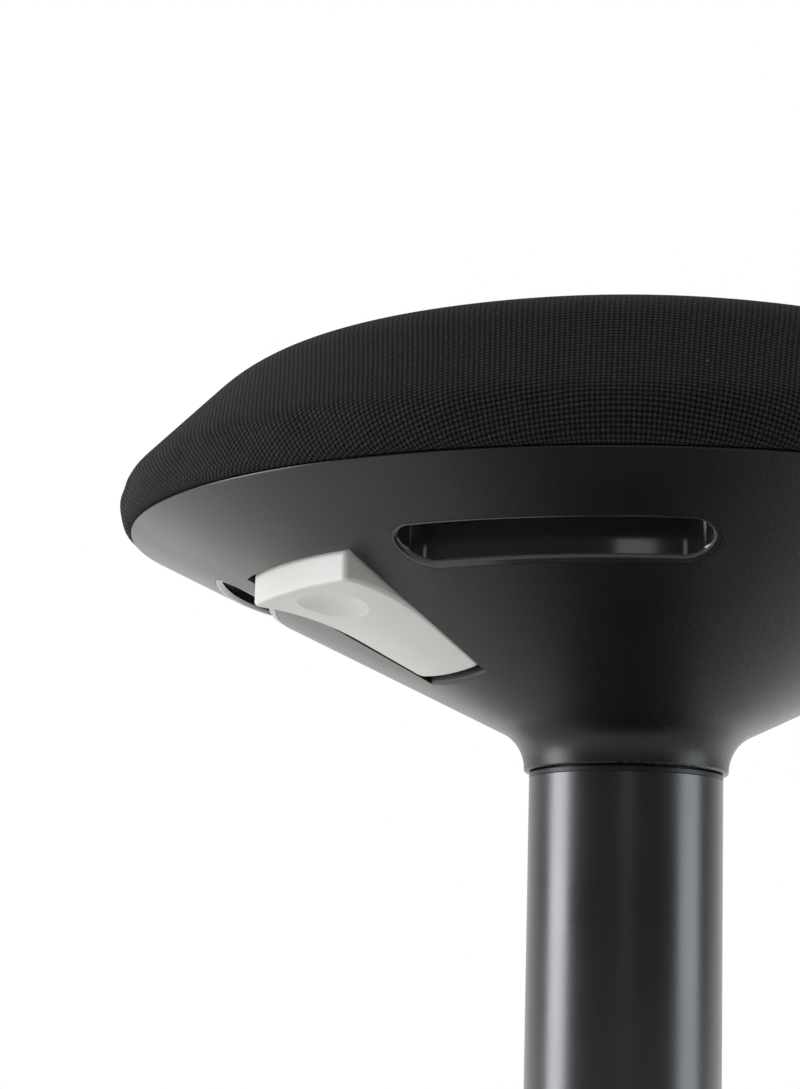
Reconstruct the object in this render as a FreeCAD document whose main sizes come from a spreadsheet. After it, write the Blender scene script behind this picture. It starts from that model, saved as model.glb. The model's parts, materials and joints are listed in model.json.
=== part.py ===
"""A round sit-stand stool: padded seat, telescopic column and weighted rocking base.

Millimetres, +Z up. The origin is on the floor, on the column's axis. The front finger slot faces -Y
and the lever points between -X and -Y. The seat is at its lowest setting.
"""
import FreeCAD, Part
import math
import os
import re
import Sketcher
from FreeCAD import Placement, Rotation, Vector

# Driving dimensions
SIZES = {
    # Seat outline and shell
    "collar_height": 350.0,
    "collar_radius": 38.0,
    "collar_round": 15.65,
    "collar_straight": 0.1,
    "rim_radius": 187.0,
    "shell_height": 83.0,
    "shell_wall": 3.0,
    "collar_edge": 0.9,
    "lip_height": 0.6,
    "lip_round": 0.25,
    # Finger slots and their cups
    "slot_rim_gap": 31.8,
    "slot_width": 23.4,
    "slot_half_angle": 17.8,
    "cup_wall": 2.8,
    "cup_gap": 0.2,
    "cup_lip_round": 1.8,
    "cup_flange": 2.0,
    "cup_top_drop": 2.0,
    # Shell posts and the catches that grip them
    "post_radius": 5.0,
    "post_slot_gap": 13.8,
    "post_top_gap": 0.5,
    "post_spaces": 8,
    "catch_radius": 9.0,
    "catch_height": 8.0,
    # Cushion
    "pad_proud": 4.9,
    "nose_radius": 16.6,
    "nose_rise": 9.65,
    "tuck_radius": 5.0,
    "pad_slope": 45.3,
    "shoulder_radius": 54.0,
    "crown_radius": 442.0,
    "pad_height": 84.5,
    "fabric_thickness": 1.0,
    "fabric_tuck": 17.0,
    "foam_gap": 0.3,
    "rim_gap": 0.3,
    "board_inset": 18.0,
    "board_thickness": 12.0,
    "board_drop": 3.0,
    # Lever
    "lever_bearing": 225.0,
    "pivot_reach": 40.0,
    "pivot_drop": 16.0,
    "pivot_radius": 4.0,
    "pivot_clearance": 0.05,
    "barrel_radius": 7.5,
    "barrel_gap": 0.5,
    "arm_thickness": 4.0,
    "arm_width": 18.0,
    "arm_side_gap": 0.5,
    "arm_under_gap": 0.3,
    "arm_end_gap": 10.4,
    "arm_tail": 6.0,
    "nose_reach": 2.0,
    "button_gap": 0.15,
    "paddle_start": 76.4,
    "paddle_rim_gap": 42.6,
    "paddle_half_width": 19.9,
    "paddle_flare": 13.9,
    "paddle_flush": 0.2,
    "paddle_drop": 9.3,
    "paddle_end_slope": 3.0,
    "paddle_curve": 105.0,
    "paddle_top_drop": 13.0,
    "paddle_wall": 3.0,
    "paddle_corner": 3.5,
    "paddle_end_corner": 3.7,
    "paddle_edge_round": 1.5,
    "dimple_end_gap": 18.4,
    "dimple_fall": 2.4,
    "dimple_tilt": 12.7,
    "dimple_depth": 1.8,
    "dimple_height_radius": 10.0,
    "dimple_along_radius": 17.4,
    "dimple_across_radius": 30.8,
    "boss_radius": 5.0,
    "boss_start_gap": 15.6,
    "boss_end_gap": 22.4,
    "paddle_screw_radius": 2.0,
    "paddle_screw_head": 4.0,
    "paddle_screw_head_height": 2.0,
    "paddle_screw_grip": 5.0,
    "channel_start_gap": 2.5,
    "channel_end_gap": 1.9,
    "channel_half_width": 19.4,
    "channel_flare": 15.5,
    "channel_end_round": 1.8,
    "channel_wall": 2.0,
    "channel_height": 7.0,
    # Steel channel under the board
    "pan_half_length": 70.0,
    "pan_half_width": 30.0,
    "pan_flange": 25.0,
    "pan_depth": 30.0,
    "pan_sheet": 3.0,
    "pan_hole": 16.0,
    "pan_bolt_along": 55.0,
    "pan_bolt_across": 43.0,
    "hub_screw_radius": 3.0,
    "hub_screw_head": 6.0,
    "hub_screw_head_height": 4.0,
    "hub_screw_grip": 10.0,
    "nut_barrel": 4.5,
    "nut_flange": 9.0,
    "nut_flange_thickness": 1.2,
    # Taper hub
    "hub_radius": 20.0,
    "hub_length": 38.0,
    "hub_flange_thickness": 5.0,
    # Column tubes
    "tube_radius": 36.0,
    "tube_wall": 2.0,
    "ring_height": 1.8,
    "ring_gap": 0.5,
    "ring_spigot": 25.0,
    "ring_edge": 0.25,
    "inner_tube_radius": 33.0,
    "inner_tube_wall": 1.7,
    "inner_tube_gap": 32.0,
    "slide_clearance": 0.06,
    "collar_entry": 8.0,
    # Gas spring
    "lift_stroke": 200.0,
    "cylinder_radius": 14.0,
    "cylinder_bore": 12.0,
    "cylinder_tip_radius": 13.3,
    "cylinder_top_drop": 24.0,
    "cylinder_cap": 5.0,
    "taper_length": 50.0,
    "guide_length": 14.0,
    "valve_length": 16.0,
    "button_radius": 4.0,
    "button_clearance": 0.06,
    "button_proud": 6.0,
    "button_length": 14.0,
    "button_travel": 3.5,
    "button_floor_gap": 1.0,
    "rod_radius": 5.0,
    "rod_end_radius": 4.0,
    "piston_length": 12.0,
    "piston_clearance": 0.1,
    "seal_width": 4.0,
    "seal_depth": 2.0,
    "seal_clearance": 0.05,
    "piston_stop_gap": 6.0,
    "bump_radius": 11.0,
    "bump_height": 11.69,
    "bump_gap": 2.0,
    "stand_radius": 25.0,
    "stand_wall": 2.0,
    "stand_drop": 17.7,
    "stand_floor": 3.0,
    "bush_length": 62.0,
    "bush_flange": 3.0,
    # Swivel bearing
    "race_radius": 11.0,
    "race_thickness": 1.6,
    "race_bore": 5.5,
    "ball_radius": 2.0,
    "ball_circle": 8.2,
    "ball_count": 8,
    "ball_clearance": 0.03,
    "cage_thickness": 1.2,
    "cage_clearance": 0.1,
    "washer_radius": 9.0,
    "washer_thickness": 1.5,
    "clip_radius": 7.0,
    "clip_thickness": 1.2,
    "clip_groove": 3.2,
    "clip_clearance": 0.05,
    "rod_tail": 2.2,
    # Base
    "foot_flat": 80.0,
    "foot_curve": 180.0,
    "foot_lean": 18.0,
    "foot_skin": 6.0,
    "foot_radius": 172.0,
    "foot_rim": 6.0,
    "foot_rim_height": 5.37,
    "plate_radius": 140.0,
    "plate_thickness": 14.0,
    "cover_overhang": 4.0,
    "cover_lap": 3.0,
    "cover_rise": 7.0,
    "cover_slope": 22.0,
    "cover_wall": 3.0,
    "cover_round": 26.0,
    "cover_shoulder": 7.0,
    "cover_neck": 17.77,
    "cover_tube_gap": 0.3,
    "cover_post_circle": 120.0,
    "cover_post_radius": 6.0,
    "cover_screw_radius": 2.5,
    "cover_screw_head": 5.5,
    "cover_screw_grip": 14.0,
    "cover_screw_seat": 4.5,
    "screw_head_height": 3.0,
    "socket_radius": 72.0,
    "socket_flange": 6.0,
    "socket_height": 46.0,
    "socket_floor": 12.0,
    "socket_opening": 15.0,
    "socket_bolt_circle": 55.0,
    "socket_bolt_radius": 4.0,
    "socket_bolt_head": 6.5,
    "socket_bolt_head_height": 5.0,
    "socket_bolt_grip": 16.0,
    "foot_screw_circle": 70.0,
    "foot_screw_radius": 2.5,
    "foot_screw_head": 5.5,
    "foot_screw_recess": 3.0,
    "foot_screw_set_back": 0.8,
    "foot_screw_grip": 12.0,
    "fastener_count": 4,
    "fastener_turn": 45.0,
}

# Dimensions that follow from the driving ones
FOLLOWING = {
    # The shell's cone runs from the rim in to the collar's round and touches it
    "cone_run": "rim_radius - collar_radius - collar_round",
    "cone_rise": "shell_height - collar_edge - collar_straight",
    "round_angle": "asin(collar_round / sqrt(cone_run ^ 2 + cone_rise ^ 2)) / 1 deg",
    "shell_slope": "atan(cone_rise / cone_run) / 1 deg - round_angle",
    # The cover hangs over the foot's rim and ends in a collar round the tube
    "foot_corner": "foot_flat + foot_curve * tan(foot_lean / 2)",
    "foot_edge": "(foot_radius - foot_corner) * tan(foot_lean)",
    "foot_top": "foot_edge + foot_rim_height",
    "cover_radius": "foot_radius + cover_overhang",
    "cover_skirt_bottom": "foot_top - cover_lap",
    "cover_skirt_top": "foot_top + cover_rise",
    "cover_collar": "tube_radius + cover_tube_gap + cover_wall",
    "cover_top": "cover_skirt_top + (cover_radius - cover_collar) * tan(cover_slope) + cover_neck",
    # Slots, posts, board and lever keep their distance from the rim
    "slot_outer": "rim_radius - slot_rim_gap",
    "slot_inner": "slot_outer - slot_width",
    "post_circle": "slot_inner - post_slot_gap",
    "board_radius": "rim_radius - board_inset",
    "paddle_reach": "rim_radius - paddle_rim_gap",
    "channel_reach": "paddle_reach + channel_end_gap",
    "channel_start": "paddle_start - channel_start_gap",
    "arm_reach": "paddle_reach - arm_end_gap",
    "boss_one": "paddle_start + boss_start_gap",
    "boss_two": "paddle_reach - boss_end_gap",
    "dimple_reach": "paddle_reach - dimple_end_gap",
    # Tubes and cylinder stand between the base and the collar
    "tube_top": "collar_height - ring_gap - ring_height",
    "stand_top": "tube_top - stand_drop",
    "plate_top": "foot_skin + plate_thickness",
    "inner_tube_top": "collar_height + collar_entry + hub_flange_thickness",
    "inner_tube_length": "inner_tube_top - plate_top - socket_height - inner_tube_gap",
    "bearing_height": "2 * (race_thickness + ball_clearance + ball_radius)",
    "bump_base": "plate_top + socket_floor + stand_floor + bearing_height + clip_clearance",
    "cylinder_top": "collar_height + shell_height - board_drop - cylinder_top_drop",
    "cylinder_length": "cylinder_top - bump_base - bump_height - bump_gap",
}

doc = FreeCAD.newDocument("RoundStool")
sizes = doc.addObject("Spreadsheet::Sheet", "Sizes")
entries = [(alias, str(amount)) for alias, amount in SIZES.items()]
entries += [(alias, "=" + formula) for alias, formula in FOLLOWING.items()]
for row, (alias, entry) in enumerate(entries, start=1):
    sizes.set("A%d" % row, alias)
    sizes.set("B%d" % row, entry)
    sizes.setAlias("B%d" % row, alias)
doc.recompute()

pieces = []


# Sizes, sketches and features

def size(text):
    """Point each named size in an expression at its cell."""
    named = set(SIZES) | set(FOLLOWING)
    return re.sub(r"[a-z_]+", lambda word: ("Sizes." if word.group() in named else "") + word.group(), text)


def number(text):
    """Work an expression out."""
    return float(sizes.evalExpression(size(text)))


def bind(thing, path, text):
    """Tie one property of an object to the named sizes."""
    thing.setExpression(path, size(text))


def plus(*terms):
    """Add expressions up."""
    return " + ".join("(%s)" % term for term in terms)


def less(first, *rest):
    """Take the later expressions from the first."""
    return "(%s)" % first + "".join(" - (%s)" % term for term in rest)


def keep(thing, label):
    """Name a finished sub-part, so that it is exported."""
    thing.Label = label
    pieces.append(thing)
    return thing


def locate(sketch, element, end, x, y):
    """Hold one sketch point at its two dimensions."""
    for kind, axis, text in (("DistanceX", -2, x), ("DistanceY", -1, y)):
        if text == "0":
            sketch.addConstraint(Sketcher.Constraint("PointOnObject", element, end, axis))
        else:
            index = sketch.addConstraint(Sketcher.Constraint(kind, element, end, number(text)))
            bind(sketch, "Constraints[%d]" % index, text)


def dimension(sketch, kind, element, text):
    """Give a radius, or a line's angle, its dimension."""
    amount = number(text)
    if kind == "Angle":
        amount = math.radians(amount)
    index = sketch.addConstraint(Sketcher.Constraint(kind, element, amount))
    bind(sketch, "Constraints[%d]" % index, text)


def arc(middle, radius, start, end):
    """An anticlockwise arc between two angles in radians."""
    return Part.ArcOfCircle(Part.Circle(middle, Vector(0, 0, 1), radius), start, end)


def outline(sketch, corners):
    """Close an outline through corners (x, y) or, rounded, (x, y, radius)."""
    spots = [Vector(number(corner[0]), number(corner[1]), 0) for corner in corners]
    count = len(corners)
    starts = []
    ends = []
    bends = []
    for index, corner in enumerate(corners):
        spot = spots[index]
        back = (spots[index - 1] - spot).normalize()
        ahead = (spots[(index + 1) % count] - spot).normalize()
        if len(corner) == 2:
            starts.append(spot)
            ends.append(spot)
            bends.append(None)
            continue
        radius = number(corner[2])
        half = back.getAngle(ahead) / 2
        starts.append(spot + ahead * (radius / math.tan(half)))
        ends.append(spot + back * (radius / math.tan(half)))
        middle = spot + (back + ahead).normalize() * (radius / math.sin(half))
        first = math.atan2(ends[-1].y - middle.y, ends[-1].x - middle.x)
        last = math.atan2(starts[-1].y - middle.y, starts[-1].x - middle.x)
        left_turn = back.cross(ahead).z < 0
        bends.append((middle, radius, first, last, left_turn))
    lines = []
    for index in range(count):
        lines.append(sketch.addGeometry(Part.LineSegment(starts[index], ends[(index + 1) % count])))
    for index, corner in enumerate(corners):
        before = lines[index - 1]
        after = lines[index]
        if bends[index] is None:
            sketch.addConstraint(Sketcher.Constraint("Coincident", before, 2, after, 1))
            locate(sketch, after, 1, corner[0], corner[1])
            continue
        middle, radius, first, last, left_turn = bends[index]
        if left_turn:
            bend = sketch.addGeometry(arc(middle, radius, first, last))
            near, far = 1, 2
        else:
            bend = sketch.addGeometry(arc(middle, radius, last, first))
            near, far = 2, 1
        sketch.addConstraint(Sketcher.Constraint("Tangent", before, 2, bend, near))
        sketch.addConstraint(Sketcher.Constraint("Tangent", bend, far, after, 1))
        dimension(sketch, "Radius", bend, corner[2])
        apex = sketch.addGeometry(Part.Point(spots[index]), True)
        sketch.addConstraint(Sketcher.Constraint("PointOnObject", apex, 1, before))
        sketch.addConstraint(Sketcher.Constraint("PointOnObject", apex, 1, after))
        locate(sketch, apex, 1, corner[0], corner[1])


def circle(sketch, x, y, radius):
    """A circle at its dimensions."""
    middle = Vector(number(x), number(y), 0)
    ring = sketch.addGeometry(Part.Circle(middle, Vector(0, 0, 1), number(radius)))
    locate(sketch, ring, 3, x, y)
    dimension(sketch, "Radius", ring, radius)


def arc_slot(sketch, grow):
    """The slot's outline: two arcs round the column's axis with round ends, all grown outwards."""
    middle_radius = "(slot_inner + slot_outer) / 2"
    half = math.radians(number("slot_half_angle"))
    centre = Vector()
    low = number(less("slot_inner", grow))
    high = number(plus("slot_outer", grow))
    ring = number(middle_radius)
    cap = (high - low) / 2
    outer = sketch.addGeometry(arc(centre, high, -half, half))
    inner = sketch.addGeometry(arc(centre, low, -half, half))
    left_centre = Vector(ring * math.cos(half), ring * math.sin(half), 0)
    right_centre = Vector(ring * math.cos(half), -ring * math.sin(half), 0)
    left = sketch.addGeometry(arc(left_centre, cap, half, half + math.pi))
    right = sketch.addGeometry(arc(right_centre, cap, math.pi - half, 2 * math.pi - half))
    for element in (outer, inner):
        sketch.addConstraint(Sketcher.Constraint("Coincident", element, 3, -1, 1))
    dimension(sketch, "Radius", outer, plus("slot_outer", grow))
    dimension(sketch, "Radius", inner, less("slot_inner", grow))
    sketch.addConstraint(Sketcher.Constraint("Tangent", outer, 2, left, 1))
    sketch.addConstraint(Sketcher.Constraint("Tangent", left, 2, inner, 2))
    sketch.addConstraint(Sketcher.Constraint("Tangent", outer, 1, right, 2))
    sketch.addConstraint(Sketcher.Constraint("Tangent", right, 1, inner, 1))
    across = "%s * sin(slot_half_angle)" % middle_radius
    for cap_end, text in ((left, across), (right, "-%s" % across)):
        index = sketch.addConstraint(Sketcher.Constraint("DistanceY", cap_end, 3, number(text)))
        bind(sketch, "Constraints[%d]" % index, text)


def body_sketch(body, name, role, height=None):
    """A sketch on one of a body's own origin planes, or a height above it."""
    sketch = body.newObject("Sketcher::SketchObject", name)
    plane = [item for item in body.Origin.OriginFeatures if item.Role == role][0]
    sketch.AttachmentSupport = [(plane, "")]
    sketch.MapMode = "FlatFace"
    if height is not None:
        bind(sketch, "AttachmentOffset.Base.z", height)
    return sketch


def free_sketch(name, upright, height=None):
    """A sketch of its own, upright in the XZ plane or level at a height."""
    sketch = doc.addObject("Sketcher::SketchObject", name)
    if upright:
        sketch.Placement = Placement(Vector(), Rotation(Vector(1, 0, 0), 90))
    if height is not None:
        bind(sketch, "Placement.Base.z", height)
    return sketch


def revolve_feature(body, sketch, axis="V_Axis"):
    """Turn a sketch a full circle in its body."""
    feature = body.newObject("PartDesign::Revolution", body.Name + "_turned")
    feature.Profile = sketch
    feature.ReferenceAxis = (sketch, [axis])
    feature.Angle = 360
    body.Tip = feature
    return feature


def turned(label, corners):
    """A piece turned about the column's axis from its half section."""
    body = doc.addObject("PartDesign::Body", label)
    sketch = body_sketch(body, label + "_section", "XZ_Plane")
    outline(sketch, corners)
    revolve_feature(body, sketch)
    return keep(body, label)


def ring_of(body, feature, sketch, count, axis):
    """Repeat a feature round the column's axis."""
    pattern = body.newObject("PartDesign::PolarPattern", body.Name + "_ring")
    pattern.Originals = [feature]
    pattern.Axis = (sketch, [axis])
    pattern.Angle = 360
    bind(pattern, "Occurrences", count)
    body.Tip = pattern
    return pattern


def turned_ring(label, reach, corners, count):
    """Separate turned pieces on a circle, such as screws, from one half section."""
    body = doc.addObject("PartDesign::Body", label)
    sketch = body_sketch(body, label + "_section", "XZ_Plane")
    outline(sketch, [(plus(reach, corner[0]),) + tuple(corner[1:]) for corner in corners])
    base, tip = corners[0][1], corners[-1][1]
    line = Part.LineSegment(Vector(number(reach), number(base), 0), Vector(number(reach), number(tip), 0))
    axis = sketch.addGeometry(line, True)
    locate(sketch, axis, 1, reach, base)
    locate(sketch, axis, 2, reach, tip)
    feature = revolve_feature(body, sketch, "Axis0")
    ring_of(body, feature, sketch, count, "V_Axis")
    return keep(body, label)


def drill(body, name, reach, radius, top, depth, count=None):
    """Bore holes down from a height, once or in a ring round the column's axis."""
    sketch = body_sketch(body, body.Name + name, "XY_Plane", top)
    circle(sketch, reach, "0", radius)
    pocket = body.newObject("PartDesign::Pocket", body.Name + name + "_bore")
    pocket.Profile = sketch
    bind(pocket, "Length", depth)
    body.Tip = pocket
    if count is not None:
        pattern = body.newObject("PartDesign::PolarPattern", body.Name + name + "_ring")
        pattern.Originals = [pocket]
        pattern.Axis = (sketch, ["N_Axis"])
        pattern.Angle = 360
        bind(pattern, "Occurrences", count)
        body.Tip = pattern


def pad(body, sketch, length, symmetric=False):
    """Raise a sketch in its body."""
    feature = body.newObject("PartDesign::Pad", sketch.Name + "_pad")
    feature.Profile = sketch
    feature.Midplane = symmetric
    bind(feature, "Length", length)
    body.Tip = feature
    return feature


def pocket(body, sketch, length, symmetric=False):
    """Sink a sketch into its body."""
    feature = body.newObject("PartDesign::Pocket", sketch.Name + "_pocket")
    feature.Profile = sketch
    feature.Midplane = symmetric
    bind(feature, "Length", length)
    body.Tip = feature
    return feature


def turned_zone(name, corners):
    """A turned space that trims other shapes."""
    sketch = free_sketch(name + "_section", True)
    outline(sketch, corners)
    zone = doc.addObject("Part::Revolution", name)
    zone.Source = sketch
    zone.Axis = Vector(0, 0, 1)
    zone.Base = Vector()
    zone.Angle = 360
    zone.Solid = True
    return zone


def prism(name, draw, bottom, height):
    """A straight prism over an outline that draw makes."""
    sketch = free_sketch(name + "_outline", False, bottom)
    draw(sketch)
    column = doc.addObject("Part::Extrusion", name)
    column.Base = sketch
    column.DirMode = "Normal"
    column.Solid = True
    bind(column, "LengthFwd", height)
    return column


def cylinder(name, radius, bottom, height, x="0", y="0"):
    """A plain upright cylinder."""
    column = doc.addObject("Part::Cylinder", name)
    bind(column, "Radius", radius)
    bind(column, "Height", height)
    bind(column, "Placement.Base.x", x)
    bind(column, "Placement.Base.y", y)
    bind(column, "Placement.Base.z", bottom)
    return column


def common(name, first, second):
    """What two shapes share."""
    shared = doc.addObject("Part::Common", name)
    shared.Base = first
    shared.Tool = second
    return shared


def cut(name, first, second):
    """The first shape less the second."""
    rest = doc.addObject("Part::Cut", name)
    rest.Base = first
    rest.Tool = second
    return rest


def fuse(name, shapes):
    """Several shapes as one."""
    whole = doc.addObject("Part::MultiFuse", name)
    whole.Shapes = shapes
    return whole


def turn(thing, bearing):
    """Turn a finished shape about the column's axis."""
    thing.Placement = Placement(Vector(), Rotation(Vector(0, 0, 1), number(bearing)))
    bind(thing, "Placement.Rotation.Angle", bearing)


# Names, heights and slopes that several pieces share

GRIPS = ("right", "back", "left", "front")
NEAR = 0.02

RIM = "collar_height + shell_height"
BOARD = less(RIM, "board_drop")
PLATE_TOP = "plate_top"
SOCKET_BASE = plus(PLATE_TOP, "socket_flange")
TUBE_TOP = "tube_top"
STAND_BASE = plus(PLATE_TOP, "socket_floor")
RACE_BASE = plus(STAND_BASE, "stand_floor")
BALL_LOW = plus(RACE_BASE, "race_thickness", "ball_clearance")
UPPER_RACE = plus(BALL_LOW, "2 * ball_radius", "ball_clearance")
ROD_SHOULDER = plus(UPPER_RACE, "race_thickness")
CYLINDER_TOP = "cylinder_top"
CYLINDER_BASE = less(CYLINDER_TOP, "cylinder_length")
GUIDE_TOP = plus(CYLINDER_BASE, "guide_length")
PISTON_BASE = plus(GUIDE_TOP, "lift_stroke", "piston_stop_gap")
BUTTON_TOP = plus(CYLINDER_TOP, "button_proud")
PIVOT = less(BOARD, "pivot_drop")
PAN_BASE = less(BOARD, "pan_depth")
INNER_RADIUS = "inner_tube_radius - inner_tube_wall"
TUBE_BORE = "tube_radius - tube_wall"
STAND_BORE = "stand_radius - stand_wall"


def cone(radius, lift="0"):
    """Height of the shell's outside at a radius, with a lift above it."""
    return "%s - (rim_radius - (%s)) * tan(shell_slope) + (%s)" % (RIM, radius, lift)


def cover_cone(radius, drop="0"):
    """Height of the base cover's outside at a radius, with a drop below it."""
    return "cover_skirt_top + (cover_radius - (%s)) * tan(cover_slope) - (%s)" % (radius, drop)


def taper(height):
    """Radius of the gas cylinder's taper at a height."""
    drop = less(CYLINDER_TOP, height)
    return "cylinder_tip_radius + (%s) * (cylinder_radius - cylinder_tip_radius) / taper_length" % drop


# Base

def rocker_foot():
    """Rubber foot: a flat middle to stand on, then a curve that lets the stool lean."""
    inner_corner = less("foot_corner", "foot_skin * tan(foot_lean / 2)")
    inside = "foot_radius - foot_rim"
    inner_edge = plus("foot_skin", "(%s - (%s)) * tan(foot_lean)" % (inside, inner_corner))
    foot = turned("rocker_foot", [
        ("0", "0"),
        ("foot_corner", "0", "foot_curve"),
        ("foot_radius", "foot_edge"),
        ("foot_radius", "foot_top"),
        (inside, "foot_top"),
        (inside, inner_edge),
        (inner_corner, "foot_skin", "foot_curve - foot_skin"),
        ("0", "foot_skin"),
    ])
    drill(foot, "_recess", "foot_screw_circle", "foot_screw_head + foot_screw_set_back", "foot_screw_recess",
          "foot_screw_recess", "fastener_count")
    drill(foot, "_hole", "foot_screw_circle", "foot_screw_radius", "foot_skin", "foot_skin", "fastener_count")
    turn(foot, "fastener_turn")


def foot_screws():
    """Pan-head screws, sunk in the foot's flat middle."""
    screws = turned_ring("foot_screws", "foot_screw_circle", [
        ("0", "foot_screw_set_back"),
        ("foot_screw_head", "foot_screw_set_back"),
        ("foot_screw_head", "foot_screw_recess"),
        ("foot_screw_radius", "foot_screw_recess"),
        ("foot_screw_radius", "foot_screw_recess + foot_screw_grip"),
        ("0", "foot_screw_recess + foot_screw_grip"),
    ], "fastener_count")
    turn(screws, "fastener_turn")


def ballast_plate():
    """Cast-iron disc whose underside follows the foot's curve."""
    corner = "foot_flat + (foot_curve - foot_skin) * tan(foot_lean / 2)"
    edge = plus("foot_skin", "(plate_radius - (%s)) * tan(foot_lean)" % corner)
    plate = turned("ballast_plate", [
        ("0", "foot_skin"),
        (corner, "foot_skin", "foot_curve - foot_skin"),
        ("plate_radius", edge),
        ("plate_radius", PLATE_TOP),
        ("0", PLATE_TOP),
    ])
    seat = less(PLATE_TOP, "cover_screw_seat")
    drill(plate, "_counterbore", "cover_post_circle", "cover_screw_head", seat, seat, "fastener_count")
    drill(plate, "_cover_hole", "cover_post_circle", "cover_screw_radius", PLATE_TOP, "plate_thickness",
          "fastener_count")
    foot_hole_top = "foot_screw_recess + foot_screw_grip"
    drill(plate, "_foot_hole", "foot_screw_circle", "foot_screw_radius", foot_hole_top,
          less(foot_hole_top, "foot_skin"), "fastener_count")
    grip = less("socket_bolt_grip", "socket_flange")
    drill(plate, "_socket_hole", "socket_bolt_circle", "socket_bolt_radius", PLATE_TOP, grip, "fastener_count")
    turn(plate, "fastener_turn")


def base_cover():
    """Flared cover: skirt, cone and collar in one wall, with four screw posts inside."""
    collar = "tube_radius + cover_tube_gap"
    rise = "cover_wall / cos(cover_slope)"
    inside = "cover_radius - cover_wall"
    wall = turned_zone("cover_wall_turned", [
        ("cover_radius", "cover_skirt_bottom"),
        ("cover_radius", "cover_skirt_top", "cover_shoulder"),
        ("cover_collar", cover_cone("cover_collar"), "cover_round"),
        ("cover_collar", "cover_top"),
        (collar, "cover_top"),
        (collar, cover_cone(collar, rise), "cover_round + cover_wall"),
        (inside, cover_cone(inside, rise), "cover_shoulder - cover_wall"),
        (inside, "cover_skirt_bottom"),
    ])
    middle = "cover_wall / 2 / cos(cover_slope)"
    inner_post = "cover_post_circle - 2 * cover_post_radius"
    outer_post = "cover_post_circle + 2 * cover_post_radius"
    space = turned_zone("cover_post_space", [
        (inner_post, PLATE_TOP),
        (outer_post, PLATE_TOP),
        (outer_post, cover_cone(outer_post, middle)),
        (inner_post, cover_cone(inner_post, middle)),
    ])
    height = less(cover_cone("cover_post_circle"), PLATE_TOP)
    posts = []
    bores = []
    for index in range(int(number("fastener_count"))):
        bearing = "%d * 360 / fastener_count" % index
        x = "cover_post_circle * cos(%s)" % bearing
        y = "cover_post_circle * sin(%s)" % bearing
        posts.append(cylinder("cover_post_%d" % index, "cover_post_radius", PLATE_TOP, height, x, y))
        bores.append(cylinder("cover_post_bore_%d" % index, "cover_screw_radius", PLATE_TOP, "cover_screw_grip",
                              x, y))
    trimmed = common("cover_posts_trimmed", fuse("cover_posts", posts), space)
    whole = fuse("cover_whole", [wall, trimmed])
    cover = cut("cover_bored", whole, fuse("cover_post_bores", bores))
    turn(cover, "fastener_turn")
    keep(cover, "base_cover")


def cover_screws():
    """Screws up through the plate into the cover's posts."""
    seat = less(PLATE_TOP, "cover_screw_seat")
    tip = plus(PLATE_TOP, "cover_screw_grip")
    screws = turned_ring("cover_screws", "cover_post_circle", [
        ("0", less(seat, "screw_head_height")),
        ("cover_screw_head", less(seat, "screw_head_height")),
        ("cover_screw_head", seat),
        ("cover_screw_radius", seat),
        ("cover_screw_radius", tip),
        ("0", tip),
    ], "fastener_count")
    turn(screws, "fastener_turn")


def column_socket():
    """Steel flange with a boss that fills the outer tube and holds the stand tube."""
    top = plus(PLATE_TOP, "socket_height")
    socket = turned("column_socket", [
        ("socket_opening", PLATE_TOP),
        ("socket_radius", PLATE_TOP),
        ("socket_radius", SOCKET_BASE),
        (TUBE_BORE, SOCKET_BASE),
        (TUBE_BORE, top),
        ("stand_radius", top),
        ("stand_radius", STAND_BASE),
        ("socket_opening", STAND_BASE),
    ])
    drill(socket, "_bolt_hole", "socket_bolt_circle", "socket_bolt_radius", SOCKET_BASE, "socket_flange",
          "fastener_count")
    turn(socket, "fastener_turn")


def socket_bolts():
    """Bolts through the socket's flange into the plate."""
    tip = less(SOCKET_BASE, "socket_bolt_grip")
    bolts = turned_ring("socket_bolts", "socket_bolt_circle", [
        ("0", tip),
        ("socket_bolt_radius", tip),
        ("socket_bolt_radius", SOCKET_BASE),
        ("socket_bolt_head", SOCKET_BASE),
        ("socket_bolt_head", plus(SOCKET_BASE, "socket_bolt_head_height")),
        ("0", plus(SOCKET_BASE, "socket_bolt_head_height")),
    ], "fastener_count")
    turn(bolts, "fastener_turn")


# Fixed tubes of the column

def outer_tube():
    """The thick tube that shows."""
    turned("outer_tube", [
        (TUBE_BORE, SOCKET_BASE),
        ("tube_radius", SOCKET_BASE),
        ("tube_radius", TUBE_TOP, "ring_edge"),
        (TUBE_BORE, TUBE_TOP),
    ])


def tube_ring():
    """Guide ring: a thin flange flush with the tube, and a spigot that the inner tube slides in."""
    bore = plus("inner_tube_radius", "slide_clearance")
    top = plus(TUBE_TOP, "ring_height")
    bottom = less(TUBE_TOP, "ring_spigot")
    turned("tube_ring", [
        (bore, bottom),
        (TUBE_BORE, bottom),
        (TUBE_BORE, TUBE_TOP),
        ("tube_radius", TUBE_TOP, "ring_edge"),
        ("tube_radius", top, "ring_edge"),
        (bore, top),
    ])


def stand_tube():
    """Steel tube of the gas spring, with a floor that carries the bearing."""
    hole = plus("rod_end_radius", "clip_clearance")
    turned("stand_tube", [
        (hole, STAND_BASE),
        ("stand_radius", STAND_BASE),
        ("stand_radius", "stand_top"),
        (STAND_BORE, "stand_top"),
        (STAND_BORE, RACE_BASE),
        (hole, RACE_BASE),
    ])


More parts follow.
